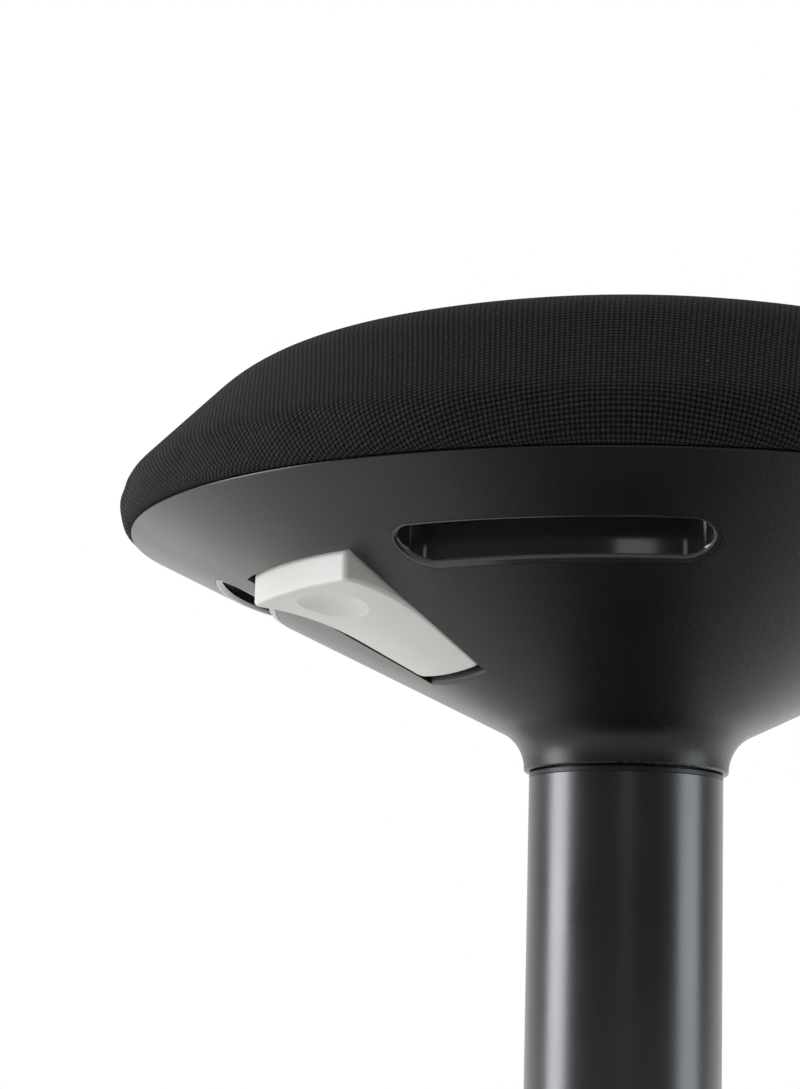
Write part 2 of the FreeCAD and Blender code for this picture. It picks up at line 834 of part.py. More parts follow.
def stand_bush():
    """Plastic guide in the stand tube's mouth."""
    bore = plus("cylinder_radius", "slide_clearance")
    bottom = less("stand_top", "bush_length")
    turned("stand_bush", [
        (bore, bottom),
        (STAND_BORE, bottom),
        (STAND_BORE, "stand_top"),
        ("stand_radius", "stand_top"),
        ("stand_radius", "stand_top + bush_flange"),
        (bore, "stand_top + bush_flange"),
    ])


# Swivel bearing and rod

def race(label, base, bore):
    """A flat bearing race."""
    top = plus(base, "race_thickness")
    turned(label, [
        (bore, base),
        ("race_radius", base),
        ("race_radius", top),
        (bore, top),
    ])


def bearing_balls():
    """Balls between the races."""
    body = doc.addObject("PartDesign::Body", "bearing_balls")
    sketch = body_sketch(body, "ball_section", "XZ_Plane")
    middle = plus(BALL_LOW, "ball_radius")
    centre = Vector(number("ball_circle"), number(middle), 0)
    radius = number("ball_radius")
    half = sketch.addGeometry(arc(centre, radius, -math.pi / 2, math.pi / 2))
    across = Part.LineSegment(centre + Vector(0, radius, 0), centre - Vector(0, radius, 0))
    chord = sketch.addGeometry(across)
    sketch.addConstraint(Sketcher.Constraint("Coincident", half, 2, chord, 1))
    sketch.addConstraint(Sketcher.Constraint("Coincident", chord, 2, half, 1))
    sketch.addConstraint(Sketcher.Constraint("PointOnObject", half, 3, chord))
    sketch.addConstraint(Sketcher.Constraint("Vertical", chord))
    locate(sketch, half, 3, "ball_circle", middle)
    dimension(sketch, "Radius", half, "ball_radius")
    feature = body.newObject("PartDesign::Revolution", "ball_turned")
    feature.Profile = sketch
    feature.ReferenceAxis = (sketch, ["Edge2"])
    feature.Angle = 360
    body.Tip = feature
    ring_of(body, feature, sketch, "ball_count", "V_Axis")
    keep(body, "bearing_balls")


def bearing_cage():
    """Thin ring that spaces the balls."""
    middle = plus(BALL_LOW, "ball_radius")
    low = less(middle, "cage_thickness / 2")
    high = plus(middle, "cage_thickness / 2")
    cage = turned("bearing_cage", [
        ("race_bore", low),
        ("race_radius", low),
        ("race_radius", high),
        ("race_bore", high),
    ])
    drill(cage, "_ball_hole", "ball_circle", "ball_radius + cage_clearance", high, "cage_thickness", "ball_count")


def piston_rod():
    """Rod with a shoulder on the upper race, a clip groove at its tail and a stub for the piston."""
    clip_top = less(STAND_BASE, "washer_thickness", "clip_clearance")
    clip_low = less(clip_top, "clip_thickness")
    tail = less(clip_low, "rod_tail")
    top = plus(PISTON_BASE, "piston_length")
    turned("piston_rod", [
        ("0", tail),
        ("rod_end_radius", tail),
        ("rod_end_radius", clip_low),
        ("clip_groove", clip_low),
        ("clip_groove", clip_top),
        ("rod_end_radius", clip_top),
        ("rod_end_radius", ROD_SHOULDER),
        ("rod_radius", ROD_SHOULDER),
        ("rod_radius", PISTON_BASE),
        ("rod_end_radius", PISTON_BASE),
        ("rod_end_radius", top),
        ("0", top),
    ])


def rod_washer():
    """Washer under the stand tube's floor."""
    top = less(STAND_BASE, "clip_clearance")
    bottom = less(top, "washer_thickness")
    turned("rod_washer", [
        ("rod_end_radius", bottom),
        ("washer_radius", bottom),
        ("washer_radius", top),
        ("rod_end_radius", top),
    ])


def rod_clip():
    """Clip in the rod's groove."""
    top = less(STAND_BASE, "washer_thickness", "clip_clearance")
    bottom = less(top, "clip_thickness")
    turned("rod_clip", [
        ("clip_groove", bottom),
        ("clip_radius", bottom),
        ("clip_radius", top),
        ("clip_groove", top),
    ])


def piston():
    """Piston with a groove for its seal."""
    radius = "cylinder_bore - piston_clearance"
    groove = less(radius, "seal_depth")
    low = plus(PISTON_BASE, "(piston_length - seal_width) / 2")
    high = plus(low, "seal_width")
    top = plus(PISTON_BASE, "piston_length")
    turned("piston", [
        ("rod_end_radius", PISTON_BASE),
        (radius, PISTON_BASE),
        (radius, low),
        (groove, low),
        (groove, high),
        (radius, high),
        (radius, top),
        ("rod_end_radius", top),
    ])


def piston_seal():
    """Seal ring in the piston's groove."""
    inner = "cylinder_bore - piston_clearance - seal_depth"
    outer = "cylinder_bore - seal_clearance"
    low = plus(PISTON_BASE, "(piston_length - seal_width) / 2")
    high = plus(low, "seal_width")
    turned("piston_seal", [
        (inner, low),
        (outer, low),
        (outer, high),
        (inner, high),
    ])


def bump_stop():
    """Rubber stop on the rod, just under the cylinder at its lowest."""
    bottom = "bump_base"
    top = plus(bottom, "bump_height")
    turned("bump_stop", [
        ("rod_radius", bottom),
        ("bump_radius", bottom),
        ("bump_radius", top, "bump_gap"),
        ("rod_radius", top),
    ])


# Gas cylinder

def gas_cylinder():
    """Cylinder with a tapered top, closed but for the button's hole."""
    shoulder = less(CYLINDER_TOP, "taper_length")
    cap = less(CYLINDER_TOP, "cylinder_cap")
    hole = plus("button_radius", "button_clearance")
    turned("gas_cylinder", [
        ("cylinder_bore", CYLINDER_BASE),
        ("cylinder_radius", CYLINDER_BASE),
        ("cylinder_radius", shoulder),
        ("cylinder_tip_radius", CYLINDER_TOP),
        (hole, CYLINDER_TOP),
        (hole, cap),
        ("cylinder_bore", cap),
    ])


def cylinder_end_guide():
    """Guide that closes the cylinder round the rod."""
    bore = plus("rod_radius", "slide_clearance")
    turned("cylinder_end_guide", [
        (bore, CYLINDER_BASE),
        ("cylinder_bore", CYLINDER_BASE),
        ("cylinder_bore", GUIDE_TOP),
        (bore, GUIDE_TOP),
    ])


def valve_body():
    """Valve under the cylinder's cap, with a blind bore for the button."""
    top = less(CYLINDER_TOP, "cylinder_cap")
    bottom = less(top, "valve_length")
    hole = plus("button_radius", "button_clearance")
    floor = less(BUTTON_TOP, "button_length", "button_travel", "button_floor_gap")
    turned("valve_body", [
        ("0", bottom),
        ("cylinder_bore", bottom),
        ("cylinder_bore", top),
        (hole, top),
        (hole, floor),
        ("0", floor),
    ])


def release_button():
    """Sprung pin that opens the valve."""
    bottom = less(BUTTON_TOP, "button_length")
    turned("release_button", [
        ("0", bottom),
        ("button_radius", bottom),
        ("button_radius", BUTTON_TOP),
        ("0", BUTTON_TOP),
    ])


# Seat frame

def inner_tube():
    """Thin tube that hangs from the hub and slides in the guide ring."""
    bottom = less("inner_tube_top", "inner_tube_length")
    turned("inner_tube", [
        (INNER_RADIUS, bottom),
        ("inner_tube_radius", bottom),
        ("inner_tube_radius", "inner_tube_top"),
        (INNER_RADIUS, "inner_tube_top"),
    ])


def taper_hub():
    """Tapered hub: its flange carries the inner tube and its top is welded to the channel."""
    flange = plus("collar_height", "collar_entry")
    turned("taper_hub", [
        (taper(flange), flange),
        (INNER_RADIUS, flange),
        (INNER_RADIUS, "inner_tube_top"),
        ("hub_radius", "inner_tube_top"),
        ("hub_radius", PAN_BASE),
        (taper(PAN_BASE), PAN_BASE),
    ])


def hub_plate():
    """Pressed steel channel: web, two walls that hold the lever's pin, and two flanges."""
    body = doc.addObject("PartDesign::Body", "hub_plate")
    section = body_sketch(body, "hub_plate_section", "YZ_Plane")
    outer = "pan_half_width + pan_flange"
    inner = "pan_half_width - pan_sheet"
    under = less(BOARD, "pan_sheet")
    floor = plus(PAN_BASE, "pan_sheet")
    outline(section, [
        ("-(%s)" % outer, BOARD),
        ("-(%s)" % outer, under),
        ("-pan_half_width", under),
        ("-pan_half_width", PAN_BASE),
        ("pan_half_width", PAN_BASE),
        ("pan_half_width", under),
        (outer, under),
        (outer, BOARD),
        (inner, BOARD),
        (inner, floor),
        ("-(%s)" % inner, floor),
        ("-(%s)" % inner, BOARD),
    ])
    pad(body, section, "2 * pan_half_length", True)
    drill(body, "_button_hole", "0", "pan_hole", floor, "2 * pan_sheet")
    holes = body_sketch(body, "hub_plate_bolt_holes", "XY_Plane", BOARD)
    for along in ("pan_bolt_along", "-pan_bolt_along"):
        for across in ("pan_bolt_across", "-pan_bolt_across"):
            circle(holes, along, across, "hub_screw_radius")
    pocket(body, holes, "pan_sheet")
    bore = body_sketch(body, "hub_plate_pin_hole", "XZ_Plane")
    circle(bore, "pivot_reach", PIVOT, "pivot_radius")
    pocket(body, bore, "4 * pan_half_width", True)
    turn(body, "lever_bearing")
    keep(body, "hub_plate")


def corner_group(label, corners):
    """Four turned pieces at the channel's bolt holes."""
    copies = []
    for index, (along, across) in enumerate((("", ""), ("-", ""), ("-", "-"), ("", "-"))):
        sketch = free_sketch("%s_section_%d" % (label, index), True)
        outline(sketch, corners)
        piece = doc.addObject("Part::Revolution", "%s_%d" % (label, index))
        piece.Source = sketch
        piece.Axis = Vector(0, 0, 1)
        piece.Base = Vector()
        piece.Angle = 360
        piece.Solid = True
        bind(piece, "Placement.Base.x", along + "pan_bolt_along")
        bind(piece, "Placement.Base.y", across + "pan_bolt_across")
        copies.append(piece)
    group = doc.addObject("Part::Compound", label)
    group.Links = copies
    turn(group, "lever_bearing")
    keep(group, label)


def hub_screws():
    """Screws up through the channel's flanges."""
    seat = less(BOARD, "pan_sheet")
    tip = plus(seat, "hub_screw_grip")
    corner_group("hub_screws", [
        ("0", less(seat, "hub_screw_head_height")),
        ("hub_screw_head", less(seat, "hub_screw_head_height")),
        ("hub_screw_head", seat),
        ("hub_screw_radius", seat),
        ("hub_screw_radius", tip),
        ("0", tip),
    ])


def t_nuts():
    """Flanged nuts let into the top of the board."""
    top = plus(BOARD, "board_thickness")
    under = less(top, "nut_flange_thickness")
    corner_group("t_nuts", [
        ("hub_screw_radius", BOARD),
        ("nut_barrel", BOARD),
        ("nut_barrel", under),
        ("nut_flange", under),
        ("nut_flange", top),
        ("hub_screw_radius", top),
    ])


def seat_board():
    """Plywood disc, bored for the nuts."""
    top = plus(BOARD, "board_thickness")
    board = turned("seat_board", [
        ("0", BOARD),
        ("board_radius", BOARD),
        ("board_radius", top),
        ("0", top),
    ])
    for name, radius, depth in (("barrel", "nut_barrel", "board_thickness"),
                                ("flange", "nut_flange", "nut_flange_thickness")):
        holes = body_sketch(board, "seat_board_%s_holes" % name, "XY_Plane", top)
        for along in ("pan_bolt_along", "-pan_bolt_along"):
            for across in ("pan_bolt_across", "-pan_bolt_across"):
                circle(holes, along, across, radius)
        pocket(board, holes, depth)
    turn(board, "lever_bearing")


# Cushion

def cushion_section(sketch, depth, closing):
    """Half section of the crowned cushion, a depth inside its skin.

    A crown arc, a shoulder arc, a straight side, a nose arc and a small tuck arc run tangent from the
    top down. The closing corners lead back inwards and up from the tuck to the axis.
    """
    slope = math.radians(number("pad_slope"))
    outward = Vector(math.sin(slope), math.cos(slope), 0)
    along = Vector(-math.cos(slope), math.sin(slope), 0)
    nose_x = "rim_radius + pad_proud - nose_radius"
    nose_y = plus(RIM, "nose_rise")
    crown_y = plus(RIM, "pad_height - crown_radius")
    crown_top = plus(RIM, less("pad_height", depth))
    nose_centre = Vector(number(nose_x), number(nose_y), 0)
    crown_centre = Vector(0, number(crown_y), 0)
    nose_size = number(less("nose_radius", depth))
    shoulder_size = number(less("shoulder_radius", depth))
    crown_size = number(less("crown_radius", depth))
    start = nose_centre + outward * nose_size
    inset = start - outward * shoulder_size
    gap = inset - crown_centre
    reach = crown_size - shoulder_size
    run = math.sqrt(gap.dot(along) ** 2 - gap.dot(gap) + reach ** 2) - gap.dot(along)
    shoulder_centre = inset + along * run
    to_crown = math.atan2(shoulder_centre.y - crown_centre.y, shoulder_centre.x)
    first = math.atan2(outward.y, outward.x)
    foot = number(closing[0][1])
    tuck_size = number(less("tuck_radius", depth))
    low = math.asin((foot + tuck_size - nose_centre.y) / (nose_size - tuck_size))
    tuck_centre = nose_centre + Vector(math.cos(low), math.sin(low), 0) * (nose_size - tuck_size)
    crown = sketch.addGeometry(arc(crown_centre, crown_size, to_crown, math.pi / 2))
    shoulder = sketch.addGeometry(arc(shoulder_centre, shoulder_size, first, to_crown))
    side = sketch.addGeometry(Part.LineSegment(start, start + along * run))
    nose = sketch.addGeometry(arc(nose_centre, nose_size, low, first))
    tuck = sketch.addGeometry(arc(tuck_centre, tuck_size, -math.pi / 2, low))
    sketch.addConstraint(Sketcher.Constraint("Tangent", crown, 1, shoulder, 2))
    sketch.addConstraint(Sketcher.Constraint("Tangent", shoulder, 1, side, 2))
    sketch.addConstraint(Sketcher.Constraint("Tangent", side, 1, nose, 2))
    sketch.addConstraint(Sketcher.Constraint("Tangent", nose, 1, tuck, 2))
    locate(sketch, crown, 3, "0", crown_y)
    dimension(sketch, "Radius", crown, less("crown_radius", depth))
    dimension(sketch, "Radius", shoulder, less("shoulder_radius", depth))
    dimension(sketch, "Radius", nose, less("nose_radius", depth))
    dimension(sketch, "Radius", tuck, less("tuck_radius", depth))
    locate(sketch, nose, 3, nose_x, nose_y)
    dimension(sketch, "Angle", side, "180 - pad_slope")
    sketch.addConstraint(Sketcher.Constraint("PointOnObject", crown, 2, -2))
    spots = [Vector(number(x), number(y), 0) for x, y in closing]
    line = sketch.addGeometry(Part.LineSegment(tuck_centre - Vector(0, tuck_size, 0), spots[0]))
    sketch.addConstraint(Sketcher.Constraint("Tangent", tuck, 1, line, 1))
    sketch.addConstraint(Sketcher.Constraint("Horizontal", line))
    locate(sketch, line, 2, closing[0][0], closing[0][1])
    for index in range(1, len(closing)):
        following = sketch.addGeometry(Part.LineSegment(spots[index - 1], spots[index]))
        sketch.addConstraint(Sketcher.Constraint("Coincident", line, 2, following, 1))
        locate(sketch, following, 2, closing[index][0], closing[index][1])
        line = following
    return crown, line, spots[-1], Vector(0, number(crown_top), 0)


def foam_pad():
    """Foam under the cover: it rests on the board and wraps the board's edge."""
    body = doc.addObject("PartDesign::Body", "foam_pad")
    sketch = body_sketch(body, "foam_section", "XZ_Plane")
    depth = plus("fabric_thickness", "foam_gap")
    bottom = plus(RIM, "lip_height", "rim_gap", depth)
    edge = plus("board_radius", depth)
    top = plus(BOARD, "board_thickness")
    closing = [(edge, bottom), (edge, top), ("0", top)]
    crown, last, tip, apex = cushion_section(sketch, depth, closing)
    line = sketch.addGeometry(Part.LineSegment(tip, apex))
    sketch.addConstraint(Sketcher.Constraint("Coincident", last, 2, line, 1))
    sketch.addConstraint(Sketcher.Constraint("Coincident", line, 2, crown, 2))
    revolve_feature(body, sketch)
    keep(body, "foam_pad")


def fabric_cover():
    """Woven skin over the foam, tucked in at the rim and under the board."""
    bottom = plus(RIM, "lip_height", "rim_gap")
    edge = plus("board_radius", "fabric_thickness")
    under = less(BOARD, "fabric_thickness")
    tuck = less("board_radius", "fabric_tuck")
    outside = doc.addObject("Part::Revolution", "fabric_outside")
    section = free_sketch("fabric_outside_section", True)
    middle = plus(bottom, "fabric_thickness")
    closing = [("0", bottom)]
    crown, last, tip, apex = cushion_section(section, "0", closing)
    line = section.addGeometry(Part.LineSegment(tip, apex))
    section.addConstraint(Sketcher.Constraint("Coincident", last, 2, line, 1))
    section.addConstraint(Sketcher.Constraint("Coincident", line, 2, crown, 2))
    hollow = doc.addObject("Part::Revolution", "fabric_hollow")
    hollow_section = free_sketch("fabric_hollow_section", True)
    closing = [("0", middle)]
    crown, last, tip, apex = cushion_section(hollow_section, "fabric_thickness", closing)
    line = hollow_section.addGeometry(Part.LineSegment(tip, apex))
    hollow_section.addConstraint(Sketcher.Constraint("Coincident", last, 2, line, 1))
    hollow_section.addConstraint(Sketcher.Constraint("Coincident", line, 2, crown, 2))
    for skin, sketch in ((outside, section), (hollow, hollow_section)):
        skin.Source = sketch
        skin.Axis = Vector(0, 0, 1)
        skin.Base = Vector()
        skin.Angle = 360
        skin.Solid = True
    hole = cylinder("fabric_hole", "board_radius", bottom, "fabric_thickness")
    skin = cut("fabric_skin", cut("fabric_shell", outside, hollow), hole)
    tucked = turned_zone("fabric_tuck_turned", [
        (tuck, under),
        (edge, under),
        (edge, middle),
        ("board_radius", middle),
        ("board_radius", BOARD),
        (tuck, BOARD),
    ])
    keep(fuse("fabric_whole", [skin, tucked]), "fabric_cover")


# Shell and its fittings

def flared_outline(sketch, name, grow):
    """Flared outline of the paddle or of its channel, grown outwards, with the far end left long."""
    begin = less("%s_start" % name, grow)
    far = "channel_reach + 4 * paddle_corner"
    slant = "(%s) / cos(%s_flare)" % (grow, name)
    half_begin = plus("%s_half_width - (%s) * tan(%s_flare)" % (name, grow, name), slant)
    half_far = plus("%s_half_width + (%s - %s_start) * tan(%s_flare)" % (name, far, name, name), slant)
    corner = (plus("paddle_corner", grow),) if name == "paddle" else ()
    outline(sketch, [
        (begin, "-(%s)" % half_begin) + corner,
        (far, "-(%s)" % half_far),
        (far, half_far),
        (begin, half_begin) + corner,
    ])


def under_shell():
    """Cone-shaped shell with its collar, posts, lever opening and four finger slots."""
    rise = "shell_wall / cos(shell_slope)"
    inner_collar = less("collar_radius", "shell_wall")
    lip_top = plus(RIM, "lip_height")
    inner_rim = less("rim_radius", "(%s - lip_height) / tan(shell_slope)" % rise)
    wall = turned_zone("shell_wall_turned", [
        (inner_collar, "collar_height"),
        ("collar_radius", "collar_height", "collar_edge"),
        ("collar_radius", cone("collar_radius"), "collar_round"),
        ("rim_radius", RIM, "lip_round"),
        ("rim_radius", lip_top, "lip_round"),
        (inner_rim, lip_top),
        (inner_collar, cone(inner_collar, rise), "collar_round + shell_wall"),
    ])
    middle = "shell_wall / 2 / cos(shell_slope)"
    near = "pan_half_length"
    inside = turned_zone("shell_inside", [
        (near, cone(near, middle)),
        ("rim_radius - 2 * shell_wall", cone("rim_radius - 2 * shell_wall", middle)),
        ("rim_radius - 2 * shell_wall", RIM),
        (near, RIM),
    ])
    post_top = less(BOARD, "post_top_gap")
    post_base = cone("post_circle - 2 * post_radius")
    posts = []
    for index in post_places():
        x = "post_circle * cos(%s)" % post_bearing(index)
        y = "post_circle * sin(%s)" % post_bearing(index)
        posts.append(cylinder("shell_post_%d" % index, "post_radius", post_base, less(post_top, post_base), x, y))
    trimmed_posts = common("shell_posts_trimmed", fuse("shell_posts", posts), inside)
    lift = plus(rise, "channel_height")
    lip_space = turned_zone("shell_lip_space", [
        (near, cone(near, middle)),
        ("rim_radius - 2 * shell_wall", cone("rim_radius - 2 * shell_wall", middle)),
        ("rim_radius - 2 * shell_wall", cone("rim_radius - 2 * shell_wall", lift)),
        (near, cone(near, lift)),
    ])
    low = "collar_height"
    lip = prism("lever_lip", lambda sketch: flared_outline(sketch, "channel", "channel_wall"), low, "shell_height")
    reach_out = cylinder("lever_lip_reach", plus("channel_reach", "channel_wall"), low, "shell_height")
    lip_block = common("lever_lip_block", common("lever_lip_round", lip, reach_out), lip_space)
    turn(lip_block, "lever_bearing")
    opening = prism("lever_opening", lambda sketch: flared_outline(sketch, "channel", "0"), low, "shell_height")
    reach_in = cylinder("lever_opening_reach", "channel_reach", low, "shell_height")
    opening_block = common("lever_opening_block", opening, reach_in)
    turn(opening_block, "lever_bearing")
    slots = []
    for index, name in enumerate(GRIPS):
        slot = prism("slot_" + name, lambda sketch: arc_slot(sketch, "0"), low, "shell_height")
        turn(slot, "%d" % (90 * index))
        slots.append(slot)
    whole = fuse("shell_whole", [wall, trimmed_posts, lip_block])
    opened = cut("shell_opened", whole, fuse("shell_openings", [opening_block] + slots))
    doc.recompute()
    rounded = doc.addObject("Part::Fillet", "shell_rounded")
    rounded.Base = opened
    radius = number("channel_end_round")
    rounded.Edges = [(index, radius, radius) for index in channel_end_edges(opened.Shape)]
    keep(rounded, "under_shell")


def shell_height_at(radius):
    """Height of the shell's outside at a radius, as a number."""
    fall = math.tan(math.radians(number("shell_slope")))
    return number(RIM) - (number("rim_radius") - radius) * fall


def channel_end_edges(shape):
    """Numbers of the edges where the channel's inner end meets the shell's outside."""
    found = []
    bearing = math.radians(number("lever_bearing"))
    for index, edge in enumerate(shape.Edges, start=1):
        spot = edge.valueAt((edge.FirstParameter + edge.LastParameter) / 2)
        along = spot.x * math.cos(bearing) + spot.y * math.sin(bearing)
        level = shell_height_at(math.hypot(spot.x, spot.y))
        if abs(along - number("channel_start")) < NEAR and abs(spot.z - level) < NEAR:
            found.append(index)
    return found


def post_places():
    """The even places round the shell that carry a post: all but the lever's."""
    lever = round(number("lever_bearing * post_spaces / 360"))
    return [index for index in range(int(number("post_spaces"))) if index != lever]


def post_bearing(index):
    """Bearing of one shell post in degrees."""
    return "%d * 360 / post_spaces" % index


def shell_catches():
    """Sockets under the board that grip the shell's posts."""
    bottom = less(BOARD, "catch_height")
    rings = []
    for index in post_places():
        x = "post_circle * cos(%s)" % post_bearing(index)
        y = "post_circle * sin(%s)" % post_bearing(index)
        block = cylinder("catch_block_%d" % index, "catch_radius", bottom, "catch_height", x, y)
        bore = cylinder("catch_bore_%d" % index, "post_radius", bottom, "catch_height", x, y)
        rings.append(cut("catch_%d" % index, block, bore))
    group = doc.addObject("Part::Compound", "shell_catches")
    group.Links = rings
    keep(group, "shell_catches")


def grip_cup(index, name):
    """Gloss cup in one finger slot: a rounded lip, upright walls, a roof and a flange behind the shell."""
    roof = less(BOARD, "cup_top_drop")
    low = "collar_height + collar_round"
    sides = prism("cup_block_" + name, lambda sketch: arc_slot(sketch, "-cup_gap"), low, less(roof, low))
    brim = prism("cup_brim_" + name, lambda sketch: arc_slot(sketch, "cup_flange"), low, less(roof, low))
    inner = prism("cup_space_" + name, lambda sketch: arc_slot(sketch, "-(cup_gap + cup_wall)"), low,
                  less(roof, low, "cup_wall"))
    near = "slot_inner - 4 * cup_wall"
    far = "slot_outer + 4 * cup_wall"
    rise = "shell_wall / cos(shell_slope) + cup_gap"
    top = plus(rise, "cup_flange")
    space = turned_zone("cup_zone_" + name, [
        (near, cone(near)),
        (far, cone(far)),
        (far, RIM),
        (near, RIM),
    ])
    flange_space = turned_zone("cup_flange_zone_" + name, [
        (near, cone(near, rise)),
        (far, cone(far, rise)),
        (far, cone(far, top)),
        (near, cone(near, top)),
    ])
    outside = fuse("cup_outside_" + name, [
        common("cup_sides_" + name, sides, space),
        common("cup_flange_" + name, brim, flange_space),
    ])
    hollowed = cut("cup_" + name, outside, inner)
    doc.recompute()
    rounded = doc.addObject("Part::Fillet", "cup_rounded_" + name)
    rounded.Base = hollowed
    radius = number("cup_lip_round")
    rounded.Edges = [(edge, radius, radius) for edge in cup_lip_edges(hollowed.Shape)]
    turn(rounded, "%d" % (90 * index))
    keep(rounded, "grip_cup_" + name)


def cup_lip_edges(shape):
    """Numbers of the edges where a cup's inside meets the shell's outside."""
    found = []
    half = math.radians(number("slot_half_angle"))
    ring = number("(slot_inner + slot_outer) / 2")
    width = number("(slot_outer - slot_inner) / 2 - cup_gap")
    for index, edge in enumerate(shape.Edges, start=1):
        spot = edge.valueAt((edge.FirstParameter + edge.LastParameter) / 2)
        radius = math.hypot(spot.x, spot.y)
        angle = max(-half, min(half, math.atan2(spot.y, spot.x)))
        spread = math.hypot(spot.x - ring * math.cos(angle), spot.y - ring * math.sin(angle))
        inside = spread < width - number("cup_wall") / 2
        if inside and abs(spot.z - shell_height_at(radius)) < NEAR:
            found.append(index)
    return found


# Lever

def lever_pin():
    """Pivot pin across the channel's walls, grooved for its clips."""
    body = doc.addObject("PartDesign::Body", "lever_pin")
    sketch = body_sketch(body, "lever_pin_section", "XZ_Plane")
    circle(sketch, "pivot_reach", PIVOT, "pivot_radius")
    pad(body, sketch, "2 * pan_half_width + 6 * clip_thickness", True)
    turn(body, "lever_bearing")
    keep(body, "lever_pin")


def pin_clips():
    """Push-on rings that keep the pin in the walls."""
    clips = []
    for index, side in enumerate(("", "-")):
        ring = doc.addObject("Part::Cylinder", "clip_ring_%d" % index)
        bore = doc.addObject("Part::Cylinder", "clip_bore_%d" % index)
        for round_piece, radius in ((ring, "2 * pivot_radius"), (bore, "pivot_radius")):
            bind(round_piece, "Radius", radius)
            bind(round_piece, "Height", "clip_thickness")
            round_piece.Placement = Placement(Vector(), Rotation(Vector(1, 0, 0), 90))
            bind(round_piece, "Placement.Base.x", "pivot_reach")
            offset = "pan_half_width + clip_thickness" if side == "" else "-pan_half_width"
            bind(round_piece, "Placement.Base.y", offset)
            bind(round_piece, "Placement.Base.z", PIVOT)
        clips.append(cut("clip_%d" % index, ring, bore))
    group = doc.addObject("Part::Compound", "pin_clips")
    group.Links = clips
    turn(group, "lever_bearing")
    keep(group, "pin_clips")


def lever_arm():
    """Flat steel bar with a pivot barrel, a round nose over the button and two screw holes."""
    body = doc.addObject("PartDesign::Body", "lever_arm")
    low = plus(BUTTON_TOP, "button_gap", "nose_reach")
    high = plus(low, "arm_thickness")
    bar = body_sketch(body, "lever_arm_bar", "XZ_Plane")
    outline(bar, [
        ("-arm_tail", low),
        ("arm_reach", low),
        ("arm_reach", high),
        ("-arm_tail", high),
    ])
    pad(body, bar, "arm_width", True)
    nose = body_sketch(body, "lever_arm_nose", "XZ_Plane")
    radius = "nose_reach + arm_thickness / 2"
    circle(nose, "0", plus(low, "arm_thickness / 2"), radius)
    pad(body, nose, "arm_width", True)
    barrel = body_sketch(body, "lever_arm_barrel", "XZ_Plane")
    circle(barrel, "pivot_reach", PIVOT, "barrel_radius")
    pad(body, barrel, "2 * (pan_half_width - pan_sheet - barrel_gap)", True)
    bore = body_sketch(body, "lever_arm_bore", "XZ_Plane")
    circle(bore, "pivot_reach", PIVOT, plus("pivot_radius", "pivot_clearance"))
    pocket(body, bore, "4 * pan_half_width", True)
    holes = body_sketch(body, "lever_arm_holes", "XY_Plane", high)
    circle(holes, "boss_one", "0", "paddle_screw_radius")
    circle(holes, "boss_two", "0", "paddle_screw_radius")
    pocket(body, holes, "arm_thickness")
    turn(body, "lever_bearing")
    keep(body, "lever_arm")


def paddle_zone(name, depth):
    """Turned space above the paddle's underside, a depth inside its skin.

    The underside keeps flush with the shell and then curves out to a level lip for the fingers.
    """
    end = "paddle_reach - (%s)" % depth
    knee = "paddle_reach - (paddle_drop + paddle_flush) / (tan(shell_slope) - tan(paddle_end_slope))"
    knee_height = cone(knee, "paddle_flush")
    turn_half = "(shell_slope - paddle_end_slope) / 2"
    deep_knee = plus(knee, "-(%s) * sin(paddle_end_slope + %s) / cos(%s)" % (depth, turn_half, turn_half))
    deep_height = plus(knee_height, "(%s) * cos(paddle_end_slope + %s) / cos(%s)" % (depth, turn_half, turn_half))
    end_height = plus(deep_height, "(%s - (%s)) * tan(paddle_end_slope)" % (end, deep_knee))
    near = "paddle_start - 4 * paddle_corner"
    near_height = less(deep_height, "(%s - (%s)) * tan(shell_slope)" % (deep_knee, near))
    top = less(BOARD, "paddle_top_drop")
    return turned_zone(name, [
        (near, near_height),
        (deep_knee, deep_height, less("paddle_curve", depth)),
        (end, end_height),
        (end, top),
        (near, top),
    ])


